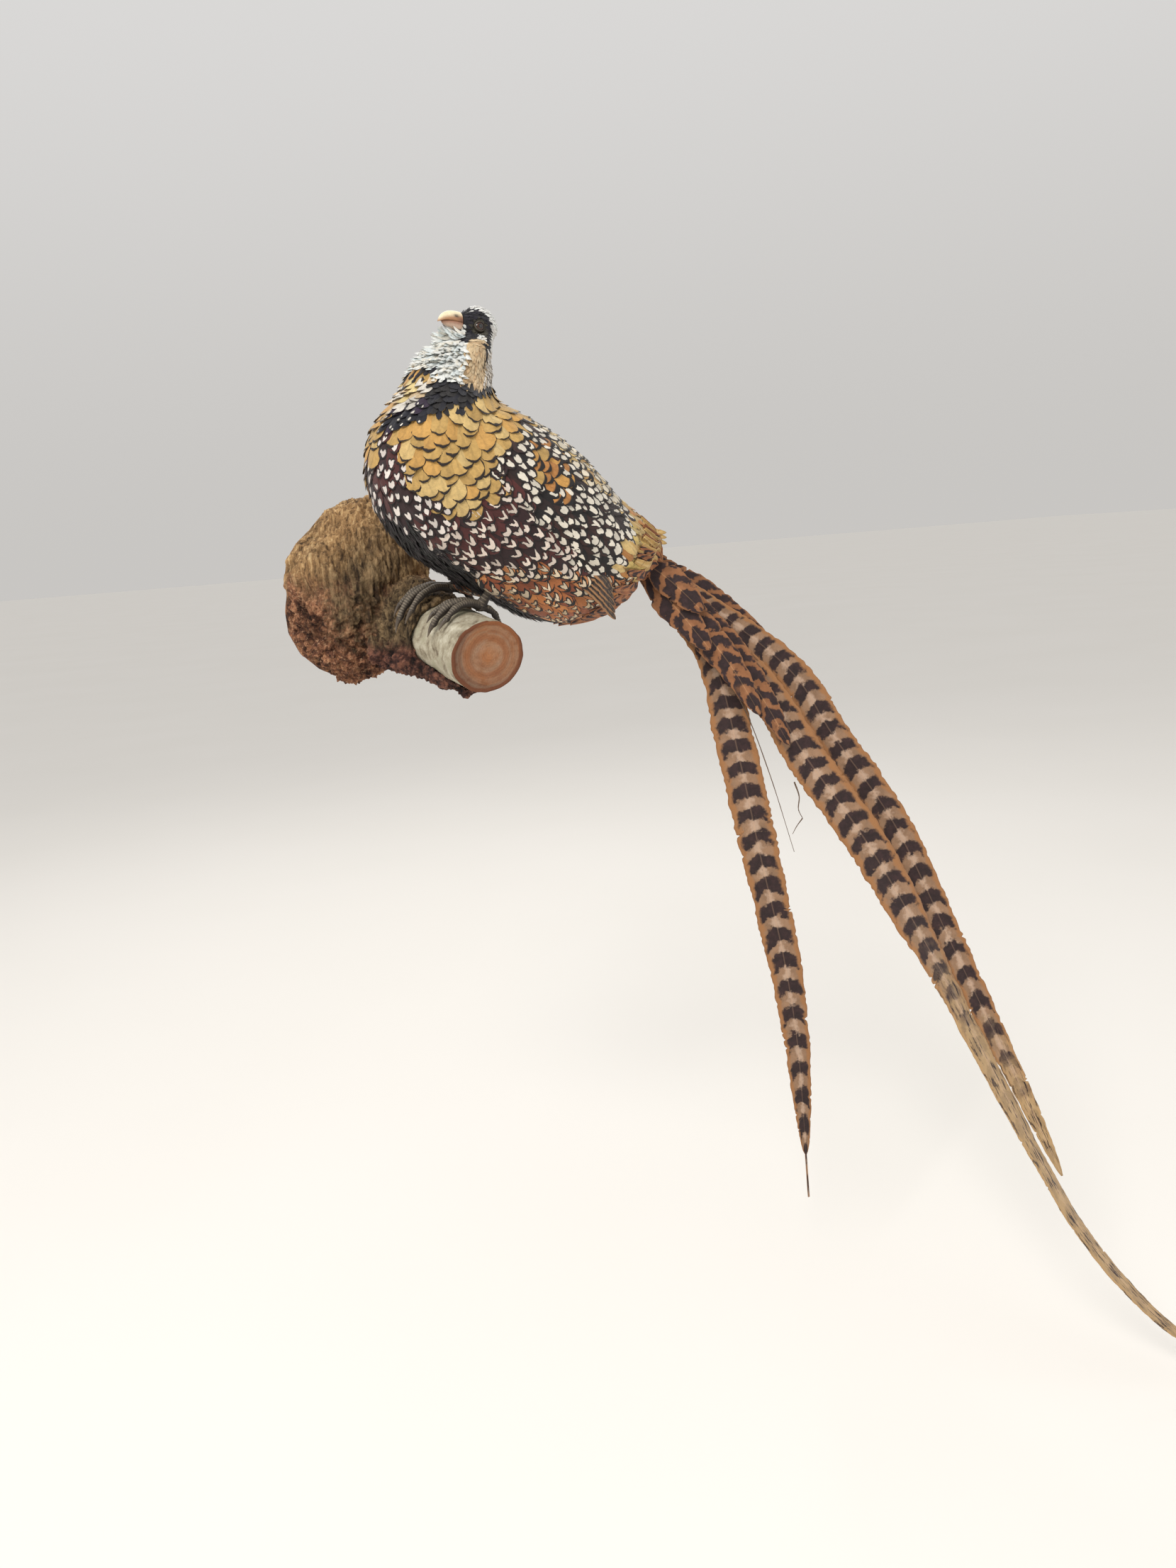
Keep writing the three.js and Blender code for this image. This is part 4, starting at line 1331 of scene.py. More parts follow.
        def each(key: str) -> np.ndarray:
            """A value of every feather's kind."""
            return np.array([getattr(kind, key) for kind in kinds])
        lie = unit(down - normals * (down * normals).sum(1, keepdims=True))
        side = np.cross(normals, lie)
        spread = (np.radians(each("spread")) * np.clip(rng.normal(0, 1, count), -2, 2))[:, None]
        lie = lie * np.cos(spread) + side * np.sin(spread)
        side = np.cross(normals, lie)
        roll = np.clip(rng.normal(0, 0.05, count), -0.1, 0.1)[:, None]
        size = np.stack([each("width"), each("length"), each("lift")], -1) * MM
        size *= rng.uniform([0.88, 0.86, 0.8], [1.14, 1.16, 1.25], (count, 3))
        tones = np.array([k.tones[int(rng.integers(len(k.tones)))] for k in kinds])
        tones = tones * (1 + rng.uniform(-1, 1, count) * each("vary"))[:, None]
        cuts = np.array([k.cut + rng.integers(VARIANTS[k.cut]) for k in kinds])
        mark = each("mark") * rng.uniform([0.72, 0.75, 0.96], [1.2, 1.3, 1.03], (count, 3))
        roots = places - normals * self.sunk
        mesh = bpy.data.meshes.new(name)
        mesh.from_pydata(roots.tolist(), [], [])
        passed = {"root": roots, "stand": normals, "lean": unit(normals + side * roll), "lie": lie,
                  "size": size, "cut": cuts.astype(np.int32), "wrap": each("wrap"),
                  "patch": self.patches(number, angle, each("length").max() < self.small)}
        kept = {"tone": tones, "mark_tone": each("mark_tone") * rng.uniform(0.7, 1.06, (count, 1)),
                "edge_tone": each("edge_tone"), "mark": mark,
                "bend": each("bend") * rng.uniform(0.7, 1.2, count),
                "ring": each("ring"), "rim": each("rim") * rng.uniform(0.7, 1.3, count)}
        for key, values in (passed | kept).items():
            store(mesh, key, values)
        made = linked(name, mesh)
        nodes = made.modifiers.new("coat", "NODES")
        nodes.node_group = group
        given = {"Skin": self.skin.piece, "Templates": self.templates.collection(), "Finish": material}
        for item in group.interface.items_tree:
            if item.in_out == "INPUT" and item.name in given:
                nodes[item.identifier] = given[item.name]
        applied(made)
        for key in passed:
            made.data.attributes.remove(made.data.attributes[key])
        ridden(made, self.slots.get(name, "body_feathers"))
        log.info("%s: %d feathers", name, count)

    def patches(self, number: np.ndarray, angle: np.ndarray, small: bool) -> np.ndarray:
        """Each feather's patch of the bake's map.

        The skin is unrolled by section number and angle. The patches lie where the roots do there,
        moved only as far as keeps them off one another.

        Args:
            number: body section numbers.
            angle: angles round the body.
            small: whether the piece is of small plain tufts, whose patches lie exactly at their roots.

        Returns:
            Rows of a patch's corner and its width.
        """
        count = len(number)
        if small:
            whole_turn, last = self.unrolled
            return np.stack([angle / whole_turn, number / last, np.full(count, self.small_patch)], -1)
        rows = max(1, round(math.sqrt(count)))
        order = np.argsort(number, kind="stable")
        patch = np.zeros((count, 3))
        columns = math.ceil(count / rows)
        for r, row in enumerate(np.array_split(order, rows)):
            row = row[np.argsort(angle[row], kind="stable")]
            patch[row, 0] = (np.arange(len(row)) + self.margin) / columns
            patch[row, 1] = (r + self.margin) / rows
        patch[:, 2] = self.patch / max(rows, columns)
        return patch

    @staticmethod
    def tree() -> bpy.types.NodeTree:
        """Builds the Geometry Nodes that set templates on roots and lay them over the skin.

        Returns:
            The node tree.
        """
        sheet, given = geometry_tree(
            "coat", {"Skin": "Object", "Templates": "Collection", "Finish": "Material"})

        def read(name: str, kind: str = "FLOAT_VECTOR") -> Term:
            """Reads a named attribute."""
            return sheet.out("GeometryNodeInputNamedAttribute", {"data_type": kind}, {"Name": name},
                             "Attribute")
        pool = sheet.out("GeometryNodeCollectionInfo", None, {
            "Collection": given["Templates"], "Separate Children": True, "Reset Children": True})
        turn = sheet.out("FunctionNodeAxesToRotation", {"primary_axis": "Z", "secondary_axis": "Y"},
                         {"Primary Axis": read("lean"), "Secondary Axis": read("lie")})
        laid = sheet.out("GeometryNodeInstanceOnPoints", None, {
            "Points": given["Geometry"], "Instance": pool, "Pick Instance": True,
            "Instance Index": read("cut", "INT"), "Rotation": turn, "Scale": read("size")})
        real = sheet.out("GeometryNodeRealizeInstances", None, {"Geometry": laid})
        skin = sheet.out("GeometryNodeObjectInfo", {"transform_space": "ORIGINAL"}, {"Object": given["Skin"]},
                         "Geometry")
        place, stand = sheet.out("GeometryNodeInputPosition"), read("stand")
        risen = sheet.vector("SUBTRACT", place, read("root"))
        height = sheet.vector("DOT_PRODUCT", risen, stand, name="Value")
        foot = sheet.vector("SUBTRACT", place, sheet.vector("SCALE", stand, height))
        near = sheet.out("GeometryNodeProximity", {"target_element": "FACES"},
                         {0: skin, "Sample Position": foot}, "Position")
        normal = sheet.out("GeometryNodeSampleNearestSurface", {"data_type": "FLOAT_VECTOR"},
                           {"Mesh": skin, "Value": read("skin_normal"), "Sample Position": foot}, "Value")
        over = sheet.vector("ADD", near, sheet.vector("SCALE", sheet.vector("NORMALIZE", normal), height))
        final = sheet.out("ShaderNodeMix", {"data_type": "VECTOR"},
                          {0: read("wrap", "FLOAT"), 4: place, 5: over}, "Result")
        moved = sheet.out("GeometryNodeSetPosition", None, {"Geometry": real, "Position": final})
        patch = read("patch")
        spot = sheet.vector("ADD", patch, sheet.vector("SCALE", read("Vane"), sheet.split(patch)[2]))
        mapped = sheet.out("GeometryNodeStoreNamedAttribute", {"data_type": "FLOAT2", "domain": "CORNER"},
                           {"Geometry": moved, "Name": "OFBake", "Value": spot})
        sheet.node("NodeGroupOutput", None, {0: sheet.out(
            "GeometryNodeSetMaterial", None, {"Geometry": mapped, "Material": given["Finish"]})})
        return sheet.tree


# ------------------------------------------------------------------ quills: tail, wing tips and plumes
@dataclass(frozen=True)
class BarFinish:
    """A long feather's web: bars across a pale middle, coloured edges and a shaft."""

    middle: Colour = rgb(156, 122, 94)
    bar: Colour = rgb(40, 24, 24)
    edge: Colour = rgb(170, 119, 74)
    shaft: Colour = rgb(196, 158, 128)
    edge_from: float = 0.68
    bar_share: float = 0.53
    arch: float = 0.42
    ragged: float = 0.5
    missing: float = 0.0
    streaks: float = 2.0
    pale: Colour = rgb(194, 166, 144)
    roughness: float = 0.6

    def make(self, name: str) -> bpy.types.Material:
        """Builds the material.

        Args:
            name: its name.

        Returns:
            The material.
        """
        paint = Paint(name)
        across, along = paint.uv("Vane")
        _, count = paint.uv("Bars")
        length = along * paint.attribute("length", "Fac")
        u = abs(across * 2 - 1)
        cloud, fine, blot = paint.noise(70, 3) - 0.5, paint.noise(380, 3) - 0.5, paint.noise(150, 3) - 0.5
        border = u + cloud * 0.45 + blot * 0.35 + fine * 0.15
        phase = count - u * u * self.arch + cloud * self.ragged + blot * 0.42 + fine * 0.14
        off = abs(phase.math("FRACT") - 0.5) * 2
        bar = off.step(self.bar_share + 0.15, self.bar_share - 0.10)
        bar = bar * border.step(self.edge_from + 0.22, self.edge_from - 0.02)
        bar = bar * paint.noise(34, 2).step(self.missing - 0.12, self.missing + 0.06)
        middle = paint.mix((cloud + 0.5).step(0.3, 0.7), self.middle, times(self.middle, 0.74))
        middle = paint.mix((u + blot).step(0.36, 0.02) * 0.75, middle, self.pale)
        freckle = paint.noise(900, 2).step(0.56, 0.66) * off.step(0.95, 0.4)
        middle = paint.mix(freckle * 0.55, middle, self.bar)
        edge = paint.mix(fine + 0.5, self.edge, times(self.edge, 0.72))
        tone = paint.mix(border.step(self.edge_from - 0.1, self.edge_from + 0.16), middle, edge)
        lines = paint.noise(1, 3, at=paint.out("ShaderNodeCombineXYZ", None, {0: across * 9, 1: length * 46}))
        ending = (along + cloud * 0.2).step(self.streaks, self.streaks + 0.16)
        tone = paint.mix(ending * 0.7, tone, rgb(196, 164, 116))
        bar = bar * (1 - ending * 0.8) + ending * (lines + fine * 0.2).step(0.53, 0.62) * 0.85
        dark = paint.mix((blot + 0.5).step(0.35, 0.75), self.bar, times(self.bar, 1.9))
        tone = paint.mix(bar.math("MINIMUM", 1), tone, dark)
        tone = paint.mix(u.step(0.05, 0.02) * (0.35 + 0.4 * ending) * (1 - bar * 0.6), tone, self.shaft)
        barb = ((length * 900 - u * paint.attribute("girth", "Fac") * 900) * math.tau).math("SINE")
        tone = paint.shade(tone, 0.96 + barb * 0.10 * u.step(0.05, 0.12) + fine * 0.25)
        return paint.finish(tone, self.roughness - fine * 0.3, paint.bump(barb * 0.5 + fine, 0.00025, 0.5),
                            sheen_weight=0.1, sheen_roughness=0.5, specular_ior_level=0.32)


@dataclass
class Quill:
    """One long feather: a thin closed web with a raised shaft and split, uneven edges.

    Lengths are in metres; bars are the first and last distance between bars in mm.
    """

    name: str
    line: Sequence[Sequence[float]]
    out: Sequence[float]
    width: float
    material: bpy.types.Material
    layer: float = 0.0
    bars: tuple[float, float] = (20, 32)
    edge: float = 0.0007
    shaft: float = 0.0016
    splits: int = 8
    step: float = 0.0017
    twist: Optional[Callable[[np.ndarray], np.ndarray]] = None
    share: Optional[Callable[[np.ndarray], np.ndarray]] = None
    seed: int = 1
    web: tuple[float, ...] = (-1, -0.86, -0.66, -0.44, -0.24, -0.09, 0, 0.09, 0.24, 0.44, 0.66, 0.86, 1)

    @staticmethod
    def tail_share(t: np.ndarray) -> np.ndarray:
        """Half width along a tail feather: narrow at the quill, full by a quarter, drawn to a point."""
        quill = np.minimum(1, 0.3 + 2.8 * t)
        return quill * np.sqrt(np.maximum(0.0025, 1 - np.maximum(0, (t - 0.3) / 0.7) ** 1.7))

    def build(self, slot: str, *nodes: str) -> None:
        """Builds the feather.

        Args:
            slot: its finish slot.
            nodes: the CAD nodes that it stands for.
        """
        rng = np.random.default_rng(SEED + self.seed)
        length = float(np.linalg.norm(np.diff(spline(self.line, 200), axis=0), axis=1).sum())
        rows = max(24, int(length / self.step))
        out = unit(np.array(self.out, float))
        course = spline(self.line, rows + 1) + out * self.layer
        t = np.linspace(0, 1, rows + 1)
        way = unit(np.gradient(course, axis=0))
        across = unit(np.cross(way, out))
        raised = np.cross(across, way)
        if self.twist is not None:
            turn = np.radians(self.twist(t))[:, None]
            across, raised = (across * np.cos(turn) + raised * np.sin(turn),
                              raised * np.cos(turn) - across * np.sin(turn))
        half = self.width / 2 * (self.share or self.tail_share)(t)
        web = np.array(self.web)
        wide = {hand: self.frayed(t, length, hand, rng) for hand in (-1, 1)}
        forward = half * 0.75 / length * np.sqrt(1 - t) * np.minimum(1, 8 * t)
        forward = np.minimum(t[:, None] + np.abs(web) * forward[:, None], 1)
        reach = web * half[:, None] * np.where(web < 0, wide[-1][:, None], wide[1][:, None])
        wave = 0.03 * half[:, None] * np.abs(web) * wobble(t * length * 40, self.seed + 9)[:, None]
        lift = wave - 0.06 * half[:, None] * web ** 2
        ridge = self.shaft / 2 * (1.15 - t)[:, None] * np.exp(-(reach / (self.shaft * 0.45)) ** 2)
        places, spans, rises = (np.stack([np.interp(forward, t, values[:, k]) for k in range(3)], -1)
                                for values in (course, across, raised))
        top = places + spans * reach[..., None] + rises * (lift + self.edge / 2 + ridge)[..., None]
        low = places + spans * reach[..., None] + rises * (lift - self.edge / 2 - ridge * 0.8)[..., None]
        made = tube(self.name, np.concatenate([top, low[:, ::-1]], 1))
        gaps = self.bars[0] + (self.bars[1] - self.bars[0]) * t
        bars = np.concatenate([[0], np.cumsum(length / MM / rows / ((gaps[1:] + gaps[:-1]) / 2))])
        bars += rng.uniform(0, 1)
        along = np.concatenate([forward, forward[:, ::-1]], 1)
        aside = np.broadcast_to(np.concatenate([web, web[::-1]]) / 2 + 0.5, along.shape)
        aside = np.append(aside, [0.5, 0.5])
        for name, values in (("Vane", np.append(along, [0.0, 1.0])),
                             ("Bars", np.append(np.interp(along, t, bars), bars[[0, -1]]))):
            corner_map(made.data, name, np.stack([aside, values], -1))
        for name, value in (("length", length), ("girth", self.width / 2)):
            store(made.data, name, np.full(len(made.data.vertices), value))
        self.strips(made.data, rows, 2 * len(web))
        dressed(made, self.material, slot, *nodes)

    def frayed(self, t: np.ndarray, length: float, hand: int, rng: np.random.Generator) -> np.ndarray:
        """One edge's share of the half width, by row: uneven, with splits.

        Args:
            t: the rows' shares of the feather's length.
            length: that length.
            hand: which edge, -1 or 1.
            rng: random numbers.

        Returns:
            The shares.
        """
        edge = 1 + 0.05 * wobble(t * length * 260, self.seed + hand)
        edge += 0.05 * wobble(t * length * 70, self.seed + 5 + hand)
        for _ in range(self.splits):
            at, depth = rng.uniform(0.12, 0.97), rng.uniform(0.08, 0.3)
            gap = rng.uniform(0.9, 2.2) * MM / length
            edge -= depth * np.clip(1 - np.abs(t - at) / gap, 0, 1) * (1 - 0.2 * (t < at))
        return np.clip(edge, 0.3, 1.15)

    @staticmethod
    def strips(mesh: bpy.types.Mesh, rows: int, around: int) -> None:
        """Lays the web in the bake's map as short strips side by side.

        Args:
            mesh: the feather's mesh.
            rows: faces along it.
            around: points in each ring.
        """
        strips = max(1, min(8, rows // 60))
        per = math.ceil(rows / strips)
        layer = mesh.uv_layers.new(name="OFBake")
        half = around // 2
        capped = (rows + 1) * around
        for face in mesh.polygons:
            ids = [mesh.loops[k].vertex_index for k in face.loop_indices]
            grid = [divmod(i, around) for i in ids if i < capped]
            low = min(r for r, _ in grid)
            strip = min(low // per, strips - 1)
            under = sum(c >= half for _, c in grid) * 2 > len(grid)
            for loop, i in zip(face.loop_indices, ids):
                r, c = divmod(i, around) if i < capped else (low + i % 2, half // 2)
                c = c - half if c >= half else half - 1 - c
                wide = 0.06 + 0.88 * (c / (half - 1))
                layer.data[loop].uv = ((strip + 0.04 + 0.92 * (under + wide) / 2) / strips,
                                       0.01 + 0.98 * min(1, (r - strip * per) / per))


@dataclass
class Tail:
    """The tail: two very long barred feathers, a long one, short chestnut ones, and a stripped shaft."""

    out: tuple[float, float, float] = (-0.33, -0.94, 0.08)
    layer: float = 2.4 * MM
    barred: BarFinish = BarFinish()
    streaked: BarFinish = BarFinish(streaks=0.48)
    worn: BarFinish = BarFinish(streaks=0.76)
    chestnut: BarFinish = BarFinish(rgb(148, 98, 62), rgb(40, 25, 26), rgb(162, 110, 70), rgb(206, 160, 112),
                                    0.86, 0.60, 0.7, 1.2, 0.30, 2.0, rgb(158, 108, 72))
    feathers: dict[str, tuple] = field(default_factory=lambda: {
        "tail_long_far": (0, 38, (
            (268, -142, 12), (346, -154, -50), (428, -175, -128), (462, -190, -193),
            (516, -225, -297), (558, -280, -448), (589, -350, -593), (600, -392, -668))),
        "tail_long_near": (1, 44, (
            (264, -144, 6), (326, -160, -55), (390, -185, -146), (418, -200, -208), (471, -235, -308),
            (523, -290, -449), (559, -360, -590), (586, -430, -702), (631, -480, -783), (675, -520, -829))),
        "tail_mid_near": (2, 43, (
            (262, -146, 2), (296, -157, -44), (332, -168, -103), (349, -182, -205),
            (363, -196, -321), (379, -206, -428), (388, -213, -529), (391, -220, -718))),
        "tail_short_near_1": (3, 38, (
            (262, -147, 4), (306, -166, -44), (362, -188, -122), (398, -204, -196))),
        "tail_short_near_2": (4, 36, (
            (261, -148, 2), (300, -168, -46), (338, -186, -102), (366, -200, -160))),
        "tail_short_near_3": (5, 34, ((260, -149, 0), (288, -168, -40), (318, -186, -88))),
        "tail_short_near_4": (6, 32, ((262, -151, 8), (286, -169, -16), (312, -184, -48))),
        "tail_short_far_1": (-1, 36, (
            (270, -141, 16), (336, -145, -34), (408, -155, -102), (458, -170, -166))),
        "tail_short_far_2": (-2, 36, (
            (270, -140, 18), (324, -138, -29), (380, -142, -80), (420, -150, -130))),
        "tail_short_far_3": (-3, 31, ((270, -139, 20), (311, -132, -17), (347, -129, -55))),
        "tail_short_far_4": (-4, 27, ((268, -138, 20), (297, -126, -9), (323, -119, -40)))})
    strands: dict[str, tuple] = field(default_factory=lambda: {
        "bare_shaft": (((330, -176, -98), (355, -190, -154), (376, -200, -225), (397, -210, -314)), 0.75),
        "loose_barb_1": (((398, -214, -236), (402, -216, -252), (400, -217, -266), (404, -218, -276)), 0.9),
        "loose_barb_2": (((404, -218, -276), (397, -217, -284), (392, -216, -292)), 0.7)})

    @staticmethod
    def needle(t: np.ndarray) -> np.ndarray:
        """Half width along the feather whose tip is worn down to its shaft."""
        return Quill.tail_share(np.minimum(1, t * 1.075))

    def build(self) -> None:
        """Builds every tail feather in its node's place, and the stripped shaft."""
        barred, chestnut = self.barred.make("tail_barred"), self.chestnut.make("tail_chestnut")
        finishes = {"tail_long_near": self.streaked.make("tail_streaked"),
                    "tail_long_far": self.worn.make("tail_worn")}
        twists = {"tail_long_near": lambda t: 52 * smooth(0.36, 0.58, t) + 5 * np.sin(9 * t),
                  "tail_long_far": lambda t: 6 * np.sin(7 * t + 1)}
        for k, (node, (layer, width, line)) in enumerate(self.feathers.items()):
            short = "short" in node
            Quill(f"web_{node}", (np.array(line) * MM).tolist(), self.out, width * MM,
                  chestnut if short else finishes.get(node, barred), layer * self.layer,
                  (20, 26) if short else (19, 37), splits=3 if short else 9, seed=k,
                  share=self.needle if "mid" in node else None,
                  twist=twists.get(node, lambda t: 4 * np.sin(8 * t))).build("tail_feathers", node)
        paint = Paint("bare_shaft")
        tone = paint.mix(paint.noise(600), rgb(60, 46, 40), rgb(120, 96, 74))
        finish = paint.finish(tone, 0.55, paint.bump(paint.noise(1500), 0.0001), specular_ior_level=0.4)
        for name, (line, girth) in self.strands.items():
            t = np.linspace(0, 1, 60)
            radius = (girth * MM * (1 - 0.6 * t) * (1 + 0.15 * wobble(t * 30, 3)))[:, None]
            rings = round_line(spline(np.array(line) * MM, 60), np.array(self.out), radius, radius, 8)
            dressed(tube(name, rings), finish, "tail_feathers")


@dataclass
class Coverts:
    """The long loose coverts over and under the tail's base, and the plume that stands out."""

    gold: BarFinish = BarFinish(rgb(204, 166, 100), rgb(126, 92, 52), rgb(214, 180, 116), rgb(226, 200, 148),
                                0.9, 0.02, 0.3, 1.0, 0.3, 2.0, rgb(222, 192, 134))
    rust: BarFinish = BarFinish(rgb(160, 100, 62), rgb(38, 24, 28), rgb(184, 122, 74), rgb(210, 150, 96),
                                0.85, 0.42, 0.8, 1.3, 0.4, 2.0, rgb(176, 120, 78))
    sections: tuple[float, ...] = (3.0, 1.9, 0.9)
    tail: tuple[float, float, float] = (0.70, -0.20, -0.68)
    shaft: float = 0.001

    @staticmethod
    def leaf(t: np.ndarray) -> np.ndarray:
        """Half width along a covert: swelling, then drawn to a soft point."""
        drawn = np.maximum(0, (t - 0.45) / 0.55) ** 1.5
        return np.minimum(1, 0.4 + 1.8 * t) * np.sqrt(np.maximum(0.004, 1 - drawn))

    def build(self) -> None:
        """Builds the coverts, each kind told by finish, angles, reach, width and lift, and the plume."""
        fan = {"gold": (self.gold.make("covert_gold"), np.linspace(-64, 84, 15), 30, 13, 2.6),
               "rust": (self.rust.make("covert_rust"), np.linspace(-80, 112, 15), 52, 17, 0.8),
               "under": (self.rust.make("covert_under"), np.linspace(128, 236, 9), 24, 15, 1.6)}
        rng = np.random.default_rng(SEED + 77)
        plumed = self.gold.make("plume")
        tail = unit(np.array(self.tail))
        base = BODY.point(-161, 0, -58)
        for name, (material, angles, reach, width, lift) in fan.items():
            for k, angle in enumerate(angles):
                angle = np.array(angle + rng.uniform(-4, 4)) % 360
                line = []
                for number in self.sections:
                    place, cut = BODY.surface(np.array(number), angle), BODY.section(np.array(number))
                    # Only the middle's X is taken off, so that every covert leans out to the left and down.
                    out = unit(place - BODY.point(cut[0], 0, cut[1])[0])
                    line.append(place + out * lift * MM)
                far = reach * rng.uniform(0.8, 1.15) * MM
                line.append(base + tail * far * 0.45 + out * (15 + lift) * MM)
                line.append(base + tail * far + out * (11 + 2 * lift) * MM)
                Quill(f"covert_{name}_{k + 1}", [point.tolist() for point in line], out, width * MM,
                      material, bars=(13, 17), splits=2, shaft=self.shaft, share=self.leaf,
                      seed=60 + k).build("tail_feathers")
        plume = [BODY.surface(np.array(1.6), np.array(44.0)), BODY.point(-158, 14, -34),
                 BODY.point(-172, 16, -34), BODY.point(-190, 18, -36)]
        for k, drop in enumerate((0, -5, -11)):
            line = [(point + UP * drop * MM * j / 3).tolist() for j, point in enumerate(plume)]
            Quill(f"plume_{k + 1}", line, (0, -1, 0.3), 9 * MM, plumed, bars=(12, 12), splits=5,
                  shaft=self.shaft, share=self.leaf, seed=90 + k).build("tail_feathers")


@dataclass
class WingTips:
    """The closed flight feathers that show behind each wing."""

    count: int = 5
    start: tuple[float, float, float] = (-48, 62, -60)
    end: tuple[float, float, float] = (-99, 50, -109)
    spread: float = 7.5
    dusky: BarFinish = BarFinish(rgb(70, 60, 55), rgb(42, 36, 36), rgb(170, 126, 86), rgb(216, 182, 130),
                                 0.58, 0.2, 0.6, 0.8, 0.4, 2.0, rgb(80, 66, 58))

    @staticmethod
    def blade(t: np.ndarray) -> np.ndarray:
        """Half width along a flight feather: even, then rounded off."""
        rounded = np.maximum(0, (t - 0.62) / 0.38) ** 2.4
        return np.minimum(1, 0.5 + 2 * t) * np.sqrt(np.maximum(0.01, 1 - rounded))

    def build(self) -> None:
        """Builds both wings' tips."""
        material = self.dusky.make("flight")
        for side, hand in (("left", 1), ("right", -1)):
            for k in range(self.count):
                share = k / (self.count - 1)
                off = (share - 0.5) * 2 * self.spread
                reach = 1 - 0.30 * share
                line = []
                for t, bow in ((-0.6, -10), (-0.1, -5), (0.25, 0.5), (0.6, 5), (1.0, 2)):
                    mid = [a + (b - a) * t * (reach if t > 0 else 1) for a, b in zip(self.start, self.end)]
                    out = mid[1] + bow + 1.0 * (share - 0.5) * 2
                    line.append(BODY.point(mid[0] - off * 0.55, hand * out, mid[2] + off * 0.83))
                aside = BODY.point(0, hand, 0) - BODY.point(0, 0, 0)
                Quill(f"flight_{side}_{k + 1}", line, aside, 10 * MM, material, (share - 0.5) * 2.6 * MM,
                      (9, 9), splits=3, shaft=0.0012, share=self.blade, seed=40 + k).build(
                    "wing_feathers", *([f"wing_tip_{side}"] if k == 0 else []))


# ------------------------------------------------------------------ head pieces
@dataclass
class Bill:
    """The hooked bill's two halves, with nostrils and a gape."""

    root: float = 21.4
    length: float = 24
    half_width: float = 6.4
    upper_depth: float = 10.4
    lower_depth: float = 5.8
    lower_share: float = 0.82
    seam: float = -4
    hook: float = 3.4
    gap: float = 0.3
    rows: int = 64
    arched: int = 25
    flat: int = 9

    def build(self) -> None:
        """Builds both halves in their nodes' places."""
        finish = SkinFinish(900, 0.00012, 0.42, 0.25, 0.5).make("horn")
        t = np.linspace(0, 1, self.rows)[:, None]
        taper = np.sqrt(1 - 0.965 * t * t)
        wide = self.half_width * taper * (1 - 0.25 * t)
        turns = np.linspace(0, math.pi, self.arched)
        flat = np.linspace(-1, 1, self.flat)[1:-1] * wide
        for name, rise, length, depth in (
                ("bill_upper", 1, self.length, self.upper_depth),
                ("bill_lower", -1, self.length * self.lower_share, self.lower_depth)):
            edge = self.seam - self.hook * (length * t / self.length) ** 4 + rise * self.gap / 2
            height = np.sin(turns) ** 0.85 * depth * taper
            fore = length * t
            pit = np.exp(-((fore - 6.5) / 2.2) ** 2 - ((height - 4.6) / 1.0) ** 2) * (rise > 0)
            lid = np.exp(-((fore - 6) / 3.0) ** 2 - ((height - 6.2) / 0.9) ** 2) * (rise > 0)
            across = np.cos(turns) * wide * (1 - 0.22 * pit + 0.10 * lid)
            across = np.concatenate([across, flat], 1)
            height, pit = (np.pad(part, ((0, 0), (0, flat.shape[1]))) for part in (height, pit))
            made = tube(f"{name}_horn", HEAD.point(self.root + fore, across, edge + rise * height))
            rising = (height / depth).ravel()
            along = np.broadcast_to(t, across.shape).ravel()
            if rise > 0:
                root = 0.85 * smooth(0.34, 0.05, along) * smooth(0.55, 0.15, rising)
                tone = blend(rgb(158, 112, 76), rgb(232, 218, 184), smooth(0.35, 0.8, rising + 0.4 * along))
                tone = blend(tone, rgb(104, 66, 50), root)
                # The nostril's dent is painted dark brown as painted shade in the recess.
                tone = blend(tone, rgb(52, 40, 34), pit.ravel() ** 0.6)
            else:
                tone = blend(rgb(150, 108, 84), rgb(214, 186, 166), smooth(0.1, 0.8, rising))
            ends = tone.reshape(*across.shape, 3)[[0, -1]].mean(1)
            store(made.data, "tone", np.concatenate([tone, ends]))
            dressed(made, finish, "bill_horn", name)


